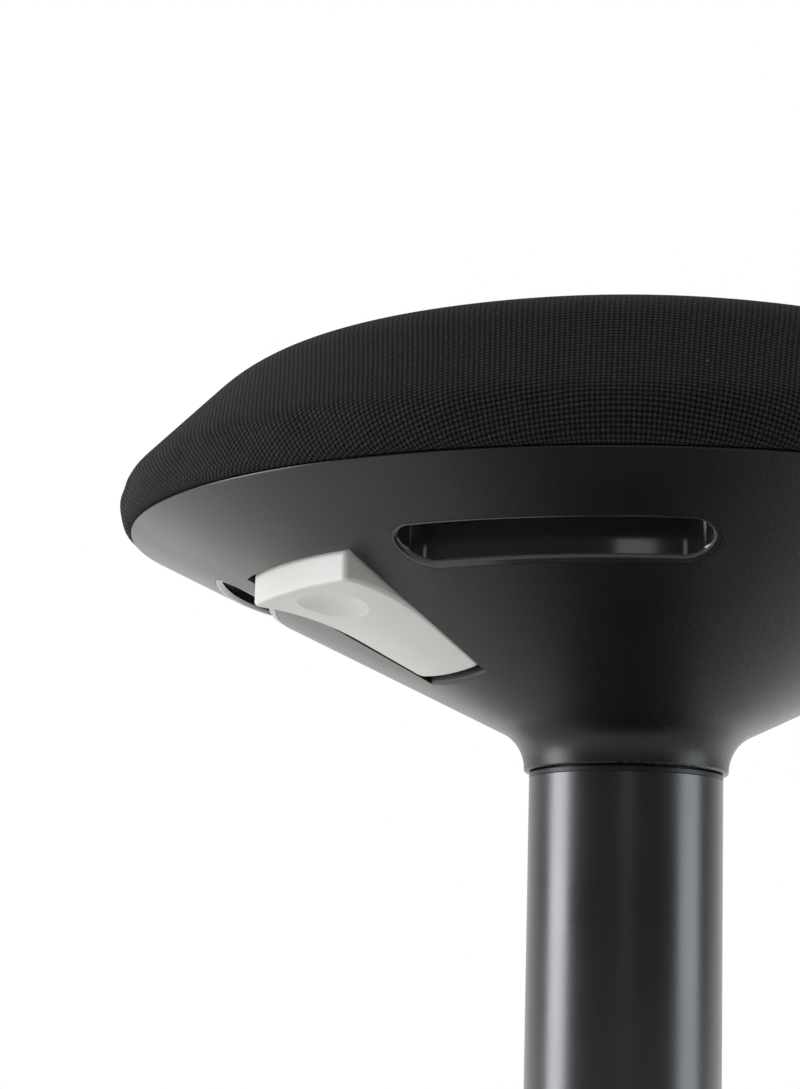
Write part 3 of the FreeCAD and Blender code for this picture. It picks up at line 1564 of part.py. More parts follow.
def lever_paddle():
    """Moulded paddle: open at the top, with two bosses under the steel arm and a finger dimple below."""
    low = "collar_height"
    wedge = prism("paddle_wedge", lambda sketch: flared_outline(sketch, "paddle", "0"), low, "shell_height")
    block = common("paddle_block", wedge, cylinder("paddle_sweep", "paddle_reach", low, "shell_height"))
    doc.recompute()
    cornered = doc.addObject("Part::Fillet", "paddle_cornered")
    cornered.Base = block
    radius = number("paddle_end_corner")
    cornered.Edges = [(index, radius, radius) for index in paddle_corner_edges(block.Shape)]
    solid = common("paddle_solid", cornered, paddle_zone("paddle_skin_zone", "0"))
    doc.recompute()
    rounded = doc.addObject("Part::Fillet", "paddle_rounded")
    rounded.Base = solid
    radius = number("paddle_edge_round")
    rounded.Edges = [(index, radius, radius) for index in paddle_edges(solid.Shape)]
    core = prism("paddle_core", lambda sketch: flared_outline(sketch, "paddle", "-paddle_wall"), low,
                 "shell_height")
    hollow = common("paddle_hollow", core, paddle_zone("paddle_core_zone", "paddle_wall"))
    cup = cut("paddle_cup", rounded, hollow)
    arm_low = plus(BUTTON_TOP, "button_gap", "nose_reach")
    bosses = []
    bores = []
    for name, reach in (("one", "boss_one"), ("two", "boss_two")):
        bosses.append(cylinder("paddle_boss_" + name, "boss_radius", low, less(arm_low, low), reach))
        bores.append(cylinder("paddle_bore_" + name, "paddle_screw_radius", less(arm_low, "paddle_screw_grip"),
                              "paddle_screw_grip", reach))
    boss_block = common("paddle_bosses_trimmed", fuse("paddle_bosses", bosses),
                        paddle_zone("paddle_boss_zone", "paddle_wall / 2"))
    arm_space = doc.addObject("Part::Box", "paddle_arm_space")
    bind(arm_space, "Length", "paddle_start + 2 * paddle_wall")
    bind(arm_space, "Width", "arm_width + 2 * arm_side_gap")
    bind(arm_space, "Height", "shell_height")
    bind(arm_space, "Placement.Base.y", "-arm_width / 2 - arm_side_gap")
    bind(arm_space, "Placement.Base.z", less(arm_low, "arm_under_gap"))
    dimple = doc.addObject("Part::Ellipsoid", "paddle_dimple")
    bind(dimple, "Radius1", "dimple_height_radius")
    bind(dimple, "Radius2", "dimple_along_radius")
    bind(dimple, "Radius3", "dimple_across_radius")
    dimple.Angle1 = -90
    dimple.Angle2 = 90
    dimple.Placement = Placement(Vector(), Rotation(Vector(0, -1, 0), number("dimple_tilt")))
    sink = "(dimple_height_radius - dimple_depth)"
    bind(dimple, "Placement.Rotation.Angle", "dimple_tilt")
    bind(dimple, "Placement.Base.x", "dimple_reach + %s * sin(dimple_tilt)" % sink)
    bind(dimple, "Placement.Base.z",
         less(cone("paddle_reach"), "paddle_drop", "dimple_fall", "%s * cos(dimple_tilt)" % sink))
    whole = fuse("paddle_whole", [cup, boss_block])
    paddle = cut("paddle_finished", whole, fuse("paddle_cuts", bores + [arm_space, dimple]))
    turn(paddle, "lever_bearing")
    keep(paddle, "lever_paddle")


def paddle_corner_edges(shape):
    """Numbers of the two upright edges at the paddle's outer end."""
    found = []
    for index, edge in enumerate(shape.Edges, start=1):
        spot = edge.valueAt((edge.FirstParameter + edge.LastParameter) / 2)
        upright = edge.Curve.TypeId == "Part::GeomLine" and abs(edge.Length - edge.BoundBox.ZLength) < NEAR
        if upright and abs(math.hypot(spot.x, spot.y) - number("paddle_reach")) < NEAR:
            found.append(index)
    return found


def paddle_edges(shape):
    """Numbers of the edges round the paddle's underside."""
    found = []
    top = number(less(BOARD, "paddle_top_drop"))
    for index, edge in enumerate(shape.Edges, start=1):
        spot = edge.valueAt((edge.FirstParameter + edge.LastParameter) / 2)
        faces = shape.ancestorsOfType(edge, Part.Face)
        kinds = [face.Surface.TypeId for face in faces]
        below = [kind in ("Part::GeomCone", "Part::GeomToroid") for kind in kinds]
        if spot.z < top - NEAR and any(below) and not all(below):
            found.append(index)
    return found


def paddle_screws():
    """Two screws down through the arm into the paddle's bosses."""
    seat = plus(BUTTON_TOP, "button_gap", "nose_reach", "arm_thickness")
    tip = less(seat, "arm_thickness", "paddle_screw_grip")
    copies = []
    for name, reach in (("one", "boss_one"), ("two", "boss_two")):
        shank = cylinder("paddle_shank_" + name, "paddle_screw_radius", tip, less(seat, tip), reach)
        cap = cylinder("paddle_head_" + name, "paddle_screw_head", seat, "paddle_screw_head_height", reach)
        copies.append(fuse("paddle_screw_" + name, [shank, cap]))
    group = doc.addObject("Part::Compound", "paddle_screws")
    group.Links = copies
    turn(group, "lever_bearing")
    keep(group, "paddle_screws")


# Build everything, check it and write it

rocker_foot()
foot_screws()
ballast_plate()
base_cover()
cover_screws()
column_socket()
socket_bolts()
outer_tube()
tube_ring()
stand_tube()
stand_bush()
race("bearing_lower_race", RACE_BASE, "race_bore")
bearing_balls()
bearing_cage()
race("bearing_upper_race", UPPER_RACE, "rod_end_radius")
piston_rod()
rod_washer()
rod_clip()
piston()
piston_seal()
bump_stop()
gas_cylinder()
cylinder_end_guide()
valve_body()
release_button()
inner_tube()
taper_hub()
hub_plate()
hub_screws()
t_nuts()
seat_board()
foam_pad()
fabric_cover()
under_shell()
for place, grip in enumerate(GRIPS):
    grip_cup(place, grip)
shell_catches()
lever_pin()
pin_clips()
lever_arm()
lever_paddle()
paddle_screws()

doc.recompute()
faults = [item.Name for item in doc.Objects if "Invalid" in item.State or "Error" in item.State]
for piece in pieces:
    if piece.Shape.isNull() or not piece.Shape.isValid() or not piece.Shape.Solids:
        faults.append(piece.Label)
if faults:
    raise SystemExit("not sound: " + ", ".join(faults))
os.makedirs("parts", exist_ok=True)
for piece in pieces:
    piece.Shape.exportStep("parts/%s.step" % piece.Label)
    print("%-22s %2d solids %12.1f mm3" % (piece.Label, len(piece.Shape.Solids), piece.Shape.Volume))
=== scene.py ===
"""Looks of a round sit-stand stool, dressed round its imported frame.

Metres, +Z up, in the frame's own axes: the origin is on the floor, on the column's axis. The front
finger slot faces -Y and the lever points between -X and -Y.
"""

import json
import logging
import math
from dataclasses import dataclass
from enum import Enum
from typing import Any

import bmesh
import bpy
from mathutils import Matrix, Vector

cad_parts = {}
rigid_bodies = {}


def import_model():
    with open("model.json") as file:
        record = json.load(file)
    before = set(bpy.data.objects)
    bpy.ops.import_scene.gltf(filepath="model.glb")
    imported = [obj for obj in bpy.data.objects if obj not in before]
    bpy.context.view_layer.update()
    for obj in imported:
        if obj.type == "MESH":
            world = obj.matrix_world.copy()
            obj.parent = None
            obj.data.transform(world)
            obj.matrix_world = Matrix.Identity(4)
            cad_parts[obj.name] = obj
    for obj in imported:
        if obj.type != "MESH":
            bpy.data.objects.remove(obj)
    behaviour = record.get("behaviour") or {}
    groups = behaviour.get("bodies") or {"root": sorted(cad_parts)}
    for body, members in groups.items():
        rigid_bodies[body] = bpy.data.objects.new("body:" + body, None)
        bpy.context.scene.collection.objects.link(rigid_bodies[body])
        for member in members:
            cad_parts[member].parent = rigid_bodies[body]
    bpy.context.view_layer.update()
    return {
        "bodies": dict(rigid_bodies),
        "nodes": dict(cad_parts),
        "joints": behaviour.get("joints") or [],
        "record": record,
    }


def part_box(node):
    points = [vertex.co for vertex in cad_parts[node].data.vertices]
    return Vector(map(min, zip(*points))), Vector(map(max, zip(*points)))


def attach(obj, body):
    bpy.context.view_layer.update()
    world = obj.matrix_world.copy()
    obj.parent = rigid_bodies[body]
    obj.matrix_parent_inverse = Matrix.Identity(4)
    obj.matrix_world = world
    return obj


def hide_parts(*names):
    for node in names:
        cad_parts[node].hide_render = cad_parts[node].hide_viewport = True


LOG = logging.getLogger("stool")
MM = 0.001
WHITE = (1.0, 1.0, 1.0)
BLACK = (0.0, 0.0, 0.0)

Colour = tuple[float, float, float]
Value = Any


def opaque(colour: Colour) -> tuple[float, ...]:
    """Return a colour with full cover, as a colour socket takes it."""
    return colour + (1.0,)


class Graph:
    """A node tree that is filled in by short calls.

    Attributes:
        NOISE_LOW: plain noise hardly goes below this number.
        NOISE_HIGH: plain noise hardly goes above this number.
    """

    NOISE_LOW = 0.3
    NOISE_HIGH = 0.7

    def __init__(self, tree: bpy.types.NodeTree) -> None:
        """Hold the tree that the calls fill in."""
        self.tree = tree

    def node(self, kind: str, **settings: Any) -> bpy.types.Node:
        """Add a node and set its plain properties.

        Args:
            kind: Blender's name of the node type.
            **settings: properties to set on it.

        Returns:
            The new node.
        """
        made = self.tree.nodes.new(kind)
        for name, value in settings.items():
            setattr(made, name, value)
        return made

    def put(self, socket: bpy.types.NodeSocket, value: Value) -> None:
        """Link a source into a socket, or set its plain value."""
        if isinstance(value, bpy.types.NodeSocket):
            self.tree.links.new(value, socket)
        else:
            socket.default_value = value

    def maths(self, operation: str, first: Value, second: Value = 0.0) -> bpy.types.NodeSocket:
        """Work two numbers out to one.

        Args:
            operation: name of the Math node's operation.
            first: a number or a socket.
            second: a number or a socket.

        Returns:
            The socket with the result.
        """
        made = self.node("ShaderNodeMath", operation=operation)
        self.put(made.inputs[0], first)
        self.put(made.inputs[1], second)
        return made.outputs[0]

    def spread(self, value: Value, low: float, high: float, to_low: float,
               to_high: float) -> bpy.types.NodeSocket:
        """Map a range of numbers smoothly onto another.

        Args:
            value: the number to map.
            low: start of its range.
            high: end of its range.
            to_low: result at the start.
            to_high: result at the end.

        Returns:
            The socket with the mapped number.
        """
        made = self.node("ShaderNodeMapRange", interpolation_type="SMOOTHSTEP")
        for place, amount in enumerate((value, low, high, to_low, to_high)):
            self.put(made.inputs[place], amount)
        return made.outputs[0]

    def stretch(self, noise: Value, to_low: float = 0.0, to_high: float = 1.0) -> bpy.types.NodeSocket:
        """Map the usual range of plain noise onto another.

        Args:
            noise: the noise to map.
            to_low: result where it is lowest.
            to_high: result where it is highest.

        Returns:
            The socket with the mapped number.
        """
        return self.spread(noise, self.NOISE_LOW, self.NOISE_HIGH, to_low, to_high)

    def vector(self, operation: str, value: Value, other: Value = None) -> bpy.types.Node:
        """Work one or two vectors out.

        Args:
            operation: name of the Vector Math node's operation.
            value: a vector or a socket.
            other: the second vector, where the operation takes one.

        Returns:
            The node, whose outputs hold the result.
        """
        made = self.node("ShaderNodeVectorMath", operation=operation)
        self.put(made.inputs[0], value)
        if other is not None:
            self.put(made.inputs[1], other)
        return made

    def bump(self, shader: bpy.types.Node, height: Value, relief: float) -> None:
        """Give a shader a bumpy surface.

        Args:
            shader: the node whose normal is bent.
            height: socket with the height, as a share of the relief.
            relief: height of the bumps, in metres.
        """
        made = self.node("ShaderNodeBump")
        made.inputs["Strength"].default_value = 1.0
        made.inputs["Distance"].default_value = relief
        self.put(made.inputs["Height"], height)
        self.put(shader.inputs["Normal"], made.outputs["Normal"])

    def blend(self, share: Value, first: Value, second: Value) -> bpy.types.NodeSocket:
        """Mix two colours by a share, and return the mixed colour's socket."""
        made = self.node("ShaderNodeMix", data_type="RGBA")
        self.put(made.inputs["Factor"], share)
        self.put(made.inputs["A"], first)
        self.put(made.inputs["B"], second)
        return made.outputs["Result"]

    def noise(self, vector: Value, scale: Value, detail: float) -> bpy.types.NodeSocket:
        """Sample plain noise, and return its number's socket."""
        made = self.node("ShaderNodeTexNoise")
        self.put(made.inputs["Vector"], vector)
        self.put(made.inputs["Scale"], scale)
        self.put(made.inputs["Detail"], detail)
        return made.outputs["Fac"]

    def object_place(self) -> bpy.types.NodeSocket:
        """Return the socket with the place on the piece, in metres."""
        return self.node("ShaderNodeTexCoord").outputs["Object"]

    def add_group(self, group: bpy.types.NodeTree, **inputs: Value) -> bpy.types.Node:
        """Place a node group and feed its named inputs, and return the node."""
        made = self.node("ShaderNodeGroup", node_tree=group)
        for name, value in inputs.items():
            self.put(made.inputs[name], value)
        return made


class Effects:
    """Node groups that several finishes share, each built once.

    Attributes:
        ROUGH_DETAIL: octaves of noise that show only a main form.
        DETAIL: octaves of noise for fine texture.
        RICH_DETAIL: octaves of noise for slow patches and strokes.
        WOOD_DETAIL: octaves of noise for wood grain.
        COARSE_GRAIN: fineness of the coarse part of a grain, as a share of the fine part's.
        FINE_SHARE: share of the fine part in a grain's height.
        MIDWAY: height of a thread between two crossings, where 1 is on top.
        THREAD_ROUND: power that rounds a thread's section, lower for a flatter thread.
        HOLE_FLOOR: squared reach from a hole's middle within which its painted shade is full, where 1 is
            the middle between two holes.
        HOLE_EDGE: squared reach at which the threads begin.
        HOLE_DEPTH: how far a hole sinks, where 1 is a thread's height.
        CREST_START: height from which a thread counts as on top and starts to take the painted highlight.
        CREST_FULL: height at which it is fully on top.
        STROKE_STRETCH: fineness of the strokes along each axis, as a share of that across them.
        STROKE_PATCH: fineness of the slow drift on turned metal, per metre.
        PLY_EDGE: half width of the soft edge between two plies.
        WOOD_STRETCH: fineness of wood grain along each axis, as a share of that across it.
        WOOD_GRAIN: fineness of wood grain across, per metre.
    """

    ROUGH_DETAIL = 1.0
    DETAIL = 2.0
    RICH_DETAIL = 3.0
    WOOD_DETAIL = 4.0
    COARSE_GRAIN = 0.37
    FINE_SHARE = 0.65
    MIDWAY = 0.5
    THREAD_ROUND = 0.7
    HOLE_FLOOR = 0.25
    HOLE_EDGE = 0.85
    HOLE_DEPTH = 0.3
    CREST_START = 0.45
    CREST_FULL = 0.9
    STROKE_STRETCH = (0.05, 0.05, 1.0)
    STROKE_PATCH = 30.0
    PLY_EDGE = 0.25
    WOOD_STRETCH = (0.06, 1.0, 1.0)
    WOOD_GRAIN = 260.0

    def __init__(self) -> None:
        """Build every group."""
        self.grain = self.build_grain()
        self.weave = self.build_weave()
        self.strokes = self.build_strokes()
        self.plies = self.build_plies()

    @staticmethod
    def new_group(name: str, inputs: dict[str, str], outputs: tuple[str, ...]) -> tuple[Graph, Any, Any]:
        """Start a group with its named sockets.

        Args:
            name: the group's name.
            inputs: socket names and their kinds.
            outputs: names of the number sockets that it puts out.

        Returns:
            The group's graph, its input node and its output node.
        """
        tree = bpy.data.node_groups.new(name, "ShaderNodeTree")
        for label, kind in inputs.items():
            tree.interface.new_socket(label, in_out="INPUT", socket_type="NodeSocket" + kind)
        for label in outputs:
            tree.interface.new_socket(label, in_out="OUTPUT", socket_type="NodeSocketFloat")
        graph = Graph(tree)
        return graph, graph.node("NodeGroupInput"), graph.node("NodeGroupOutput")

    def build_grain(self) -> bpy.types.NodeTree:
        """Fine moulded or sprayed grain, with a slow drift of tone over the piece."""
        graph, given, made = self.new_group(
            "fine_grain", {"Place": "Vector", "Fineness": "Float", "Patch": "Float"}, ("Height", "Tone"))
        fine = graph.noise(given.outputs["Place"], given.outputs["Fineness"], self.DETAIL)
        coarse_scale = graph.maths("MULTIPLY", given.outputs["Fineness"], self.COARSE_GRAIN)
        coarse = graph.noise(given.outputs["Place"], coarse_scale, self.ROUGH_DETAIL)
        fine_part = graph.maths("MULTIPLY", fine, self.FINE_SHARE)
        coarse_part = graph.maths("MULTIPLY", coarse, 1.0 - self.FINE_SHARE)
        graph.put(made.inputs["Height"], graph.stretch(graph.maths("ADD", fine_part, coarse_part)))
        patch = graph.noise(given.outputs["Place"], given.outputs["Patch"], self.RICH_DETAIL)
        graph.put(made.inputs["Tone"], graph.stretch(patch))
        return graph.tree

    def build_weave(self) -> bpy.types.NodeTree:
        """Plain weave of thick threads over and under each other, with round holes between them."""
        graph, given, made = self.new_group(
            "basket_weave", {"Cloth": "Vector", "Threads": "Float"}, ("Height", "Gap", "Lift"))
        scaled = graph.node("ShaderNodeVectorMath", operation="SCALE")
        graph.put(scaled.inputs[0], given.outputs["Cloth"])
        graph.put(scaled.inputs["Scale"], graph.maths("MULTIPLY", given.outputs["Threads"], math.pi))
        split = graph.node("ShaderNodeSeparateXYZ")
        graph.put(split.inputs[0], scaled.outputs[0])
        warp = graph.maths("SINE", split.outputs[0])
        weft = graph.maths("SINE", split.outputs[1])
        over = graph.maths("MULTIPLY", graph.maths("MULTIPLY", warp, weft), self.MIDWAY)
        warp_round = graph.maths("POWER", graph.maths("ABSOLUTE", warp), self.THREAD_ROUND)
        weft_round = graph.maths("POWER", graph.maths("ABSOLUTE", weft), self.THREAD_ROUND)
        warp_height = graph.maths("MULTIPLY", warp_round, graph.maths("ADD", over, self.MIDWAY))
        weft_height = graph.maths("MULTIPLY", weft_round, graph.maths("SUBTRACT", self.MIDWAY, over))
        height = graph.maths("MAXIMUM", warp_height, weft_height)
        hole = graph.maths("ADD", graph.maths("MULTIPLY", warp, warp), graph.maths("MULTIPLY", weft, weft))
        # The Gap mask sinks the holes and also carries their painted shade.
        gap = graph.spread(hole, self.HOLE_FLOOR, self.HOLE_EDGE, 1.0, 0.0)
        sunk = graph.maths("MULTIPLY", gap, self.HOLE_DEPTH)
        graph.put(made.inputs["Height"], graph.maths("SUBTRACT", height, sunk))
        graph.put(made.inputs["Gap"], gap)
        # Lift marks the crests that take the painted highlight.
        graph.put(made.inputs["Lift"], graph.spread(height, self.CREST_START, self.CREST_FULL, 0.0, 1.0))
        return graph.tree

    def build_strokes(self) -> bpy.types.NodeTree:
        """Fine strokes round the column's axis, as turning and rolling leave."""
        graph, given, made = self.new_group(
            "turned_strokes", {"Place": "Vector", "Fineness": "Float"}, ("Height", "Tone"))
        drawn = graph.vector("MULTIPLY", given.outputs["Place"], self.STROKE_STRETCH)
        fine = graph.noise(drawn.outputs[0], given.outputs["Fineness"], self.RICH_DETAIL)
        graph.put(made.inputs["Height"], graph.stretch(fine))
        slow = graph.noise(given.outputs["Place"], self.STROKE_PATCH, self.DETAIL)
        graph.put(made.inputs["Tone"], graph.stretch(slow))
        return graph.tree

    def build_plies(self) -> bpy.types.NodeTree:
        """Plywood: level plies at the edge and long grain on the faces."""
        graph, given, made = self.new_group("plies", {"Place": "Vector", "Plies": "Float"}, ("Ply", "Tone"))
        split = graph.node("ShaderNodeSeparateXYZ")
        graph.put(split.inputs[0], given.outputs["Place"])
        turn = graph.maths("MULTIPLY", split.outputs[2], given.outputs["Plies"])
        ply = graph.maths("SINE", graph.maths("MULTIPLY", turn, math.pi))
        graph.put(made.inputs["Ply"], graph.spread(ply, -self.PLY_EDGE, self.PLY_EDGE, 0.0, 1.0))
        drawn = graph.vector("MULTIPLY", given.outputs["Place"], self.WOOD_STRETCH)
        grain = graph.noise(drawn.outputs[0], self.WOOD_GRAIN, self.WOOD_DETAIL)
        graph.put(made.inputs["Tone"], graph.stretch(grain))
        return graph.tree


class Surface(Enum):
    """What kind of texture a finish has."""

    GRAIN = "grain"
    STROKES = "strokes"
    PLIES = "plies"


@dataclass(frozen=True)
class Finish:
    """A hard material's look. Lengths are in metres.

    Attributes:
        slot: the record's material slot.
        colour: its middle colour, in linear light.
        drift: share by which the colour wanders over the piece.
        roughness: its middle roughness.
        uneven: how far the roughness wanders.
        grain: size of one grain.
        relief: height of the grain.
        metallic: 1 for bare metal.
        specular: strength of the gloss at a right angle.
        ior: index of refraction, higher for a glossier paint.
        surface: kind of texture.
        patch: fineness of the slow drift of tone, per metre.
    """

    slot: str
    colour: Colour
    drift: float
    roughness: float
    uneven: float
    grain: float
    relief: float
    metallic: float = 0.0
    specular: float = 0.5
    ior: float = 1.5
    surface: Surface = Surface.GRAIN
    patch: float = 14.0

    def shades(self) -> tuple[tuple[float, ...], tuple[float, ...]]:
        """Return the darkest and lightest colours that the finish wanders between."""
        dark = tuple(part * (1.0 - self.drift) for part in self.colour)
        light = tuple(part * (1.0 + self.drift) for part in self.colour)
        return opaque(dark), opaque(light)

    def build(self, effects: Effects) -> bpy.types.Material:
        """Make the material.

        Args:
            effects: the node groups.

        Returns:
            The finished material.
        """
        material = bpy.data.materials.new(self.slot)
        material.use_nodes = True
        graph = Graph(material.node_tree)
        shader = material.node_tree.nodes["Principled BSDF"]
        place = graph.object_place()
        dark, light = self.shades()
        if self.surface is Surface.PLIES:
            effect = graph.add_group(effects.plies, Place=place, Plies=1.0 / self.grain)
            height = effect.outputs["Ply"]
        elif self.surface is Surface.STROKES:
            effect = graph.add_group(effects.strokes, Place=place, Fineness=1.0 / self.grain)
            height = effect.outputs["Height"]
        else:
            fineness = 1.0 / self.grain
            effect = graph.add_group(effects.grain, Place=place, Fineness=fineness, Patch=self.patch)
            height = effect.outputs["Height"]
        tone = effect.outputs["Tone"]
        graph.put(shader.inputs["Base Color"], graph.blend(tone, dark, light))
        rough = graph.spread(tone, 0.0, 1.0, self.roughness - self.uneven, self.roughness + self.uneven)
        graph.put(shader.inputs["Roughness"], rough)
        graph.bump(shader, height, self.relief)
        shader.inputs["Metallic"].default_value = self.metallic
        shader.inputs["Specular IOR Level"].default_value = self.specular
        shader.inputs["IOR"].default_value = self.ior
        return material


HARD_FINISHES = (
    Finish("seat_foam", (0.62, 0.60, 0.52), drift=0.06, roughness=0.95, uneven=0.03,
           grain=1.6 * MM, relief=0.5 * MM),
    Finish("plywood", (0.60, 0.44, 0.27), drift=0.18, roughness=0.62, uneven=0.05,
           grain=1.5 * MM, relief=0.06 * MM, surface=Surface.PLIES),
    Finish("shell_plastic", (0.0038, 0.0037, 0.0035), drift=0.12, roughness=0.32, uneven=0.02,
           grain=0.6 * MM, relief=0.03 * MM, ior=1.58),
    Finish("cup_plastic", (0.020, 0.023, 0.0248), drift=0.10, roughness=0.13, uneven=0.02,
           grain=1.2 * MM, relief=0.002 * MM, ior=1.75),
    Finish("lever_plastic", (0.84, 0.825, 0.75), drift=0.012, roughness=0.38, uneven=0.03,
           grain=0.5 * MM, relief=0.006 * MM),
    Finish("column_paint", (0.0054, 0.0062, 0.0074), drift=0.10, roughness=0.28, uneven=0.02,
           grain=0.7 * MM, relief=0.008 * MM, ior=2.0),
    Finish("guide_plastic", (0.012, 0.012, 0.013), drift=0.10, roughness=0.36, uneven=0.03,
           grain=0.6 * MM, relief=0.010 * MM),
    Finish("cover_plastic", (0.014, 0.014, 0.014), drift=0.12, roughness=0.42, uneven=0.03,
           grain=0.45 * MM, relief=0.022 * MM),
    Finish("foot_rubber", (0.016, 0.016, 0.016), drift=0.20, roughness=0.78, uneven=0.06,
           grain=0.8 * MM, relief=0.08 * MM, specular=0.35),
    Finish("plate_iron", (0.055, 0.055, 0.056), drift=0.20, roughness=0.62, uneven=0.08,
           grain=1.6 * MM, relief=0.20 * MM),
    Finish("plain_steel", (0.55, 0.55, 0.56), drift=0.10, roughness=0.34, uneven=0.06,
           grain=0.35 * MM, relief=0.006 * MM, metallic=1.0, surface=Surface.STROKES),
    Finish("polished_steel", (0.72, 0.72, 0.74), drift=0.04, roughness=0.12, uneven=0.03,
           grain=0.3 * MM, relief=0.002 * MM, metallic=1.0, surface=Surface.STROKES),
    Finish("cylinder_paint", (0.014, 0.014, 0.015), drift=0.10, roughness=0.26, uneven=0.03,
           grain=0.9 * MM, relief=0.008 * MM),
    Finish("piston_metal", (0.70, 0.70, 0.71), drift=0.06, roughness=0.28, uneven=0.05,
           grain=0.4 * MM, relief=0.006 * MM, metallic=1.0, surface=Surface.STROKES),
)


@dataclass(frozen=True)
class Weave:
    """Black woven upholstery, laid out flat on the piece's own cloth map in metres.

    Attributes:
        slot: the record's material slot.
        gap: painted shade, the near-black colour deep in the holes between the threads.
        thread: colour of a thread.
        crest_highlight: painted highlight, a lighter colour where a thread crosses on top.
        lint: colour of the few specks of lint.
        pitch: distance from one thread to the next.
        relief: height of the threads.
        yarn: fineness of the fibres in a thread, per metre.
        knots: fineness of the thick and thin places along a thread, per metre.
        yarn_dull: share of a crest's light that the dullest fibre keeps.
        knot_dull: share of a crest's light that the thinnest place keeps.
        lint_spread: fineness of the noise whose rare peaks are specks of lint, per metre.
        lint_start: height of that noise at which a speck starts.
        lint_full: height at which it is full.
        lint_cover: how much a speck covers.
        smooth: roughness of the smoothest fibre.
        rough: roughness of the roughest fibre.
        fibre: height of the fibres, where 1 is a thread's height.
        specular: strength of the gloss at a right angle.
        sheen: strength of the soft haze at a low angle.
        sheen_roughness: spread of that haze.
        grain_turn: bearing of the weave's rows on the seat.
    """

    slot: str = "woven_fabric"
    gap: Colour = (0.0006, 0.0007, 0.0008)
    thread: Colour = (0.0098, 0.0108, 0.0116)
    crest_highlight: Colour = (0.053, 0.0575, 0.0610)
    lint: Colour = (0.11, 0.115, 0.115)
    pitch: float = 1.84 * MM
    relief: float = 0.38 * MM
    yarn: float = 2600.0
    knots: float = 520.0
    yarn_dull: float = 0.55
    knot_dull: float = 0.45
    lint_spread: float = 310.0
    lint_start: float = 0.86
    lint_full: float = 0.92
    lint_cover: float = 0.8
    smooth: float = 0.72
    rough: float = 0.9
    fibre: float = 0.25
    specular: float = 0.12
    sheen: float = 0.015
    sheen_roughness: float = 0.45
    grain_turn: float = math.radians(-9.0)

    def build(self, effects: Effects) -> bpy.types.Material:
        """Make the material.

        Args:
            effects: the node groups.

        Returns:
            The finished material.
        """
        material = bpy.data.materials.new(self.slot)
        material.use_nodes = True
        graph = Graph(material.node_tree)
        shader = material.node_tree.nodes["Principled BSDF"]
        cloth = graph.node("ShaderNodeUVMap", uv_map="cloth").outputs[0]
        turned = graph.node("ShaderNodeMapping")
        graph.put(turned.inputs["Vector"], cloth)
        turned.inputs["Rotation"].default_value[2] = self.grain_turn
        weave = graph.add_group(effects.weave, Cloth=turned.outputs[0], Threads=1.0 / self.pitch)
        yarn = graph.noise(turned.outputs[0], self.yarn, effects.DETAIL)
        knots = graph.noise(turned.outputs[0], self.knots, effects.ROUGH_DETAIL)
        uneven = graph.maths("MULTIPLY", graph.stretch(yarn, self.yarn_dull),
                             graph.stretch(knots, self.knot_dull))
        # Painted highlight: the crests of the threads are coloured lighter than the rest of the thread,
        # dulled here and there by the yarn and knots.
        lit = graph.maths("MULTIPLY", weave.outputs["Lift"], uneven)
        painted_highlight = graph.blend(lit, opaque(self.thread), opaque(self.crest_highlight))
        # Painted shade: the holes between the threads are coloured near black.
        colour = graph.blend(weave.outputs["Gap"], painted_highlight, opaque(self.gap))
        lint = graph.noise(cloth, self.lint_spread, 0.0)
        specks = graph.spread(lint, self.lint_start, self.lint_full, 0.0, self.lint_cover)
        graph.put(shader.inputs["Base Color"], graph.blend(specks, colour, opaque(self.lint)))
        graph.put(shader.inputs["Roughness"], graph.stretch(yarn, self.smooth, self.rough))
        fibre = graph.maths("MULTIPLY", yarn, self.fibre)
        graph.bump(shader, graph.maths("ADD", weave.outputs["Height"], fibre), self.relief)
        shader.inputs["Specular IOR Level"].default_value = self.specular
        shader.inputs["Sheen Weight"].default_value = self.sheen
        shader.inputs["Sheen Roughness"].default_value = self.sheen_roughness
        return material


class Wardrobe:
    """Every finished material, by the record's slot name."""

    def __init__(self) -> None:
        """Build the shared effects and all materials."""
        effects = Effects()
        self.materials = {finish.slot: finish.build(effects) for finish in HARD_FINISHES}
        weave = Weave()
        self.materials[weave.slot] = weave.build(effects)

    def dress(self, piece: bpy.types.Object, *slots: str) -> None:
        """Give a piece its materials, in the order of its slots."""
        if len(piece.data.materials) != len(slots):
            piece.data.materials.clear()
            for slot in slots:
                piece.data.materials.append(self.materials[slot])
        for place, slot in enumerate(slots):
            piece.material_slots[place].material = self.materials[slot]


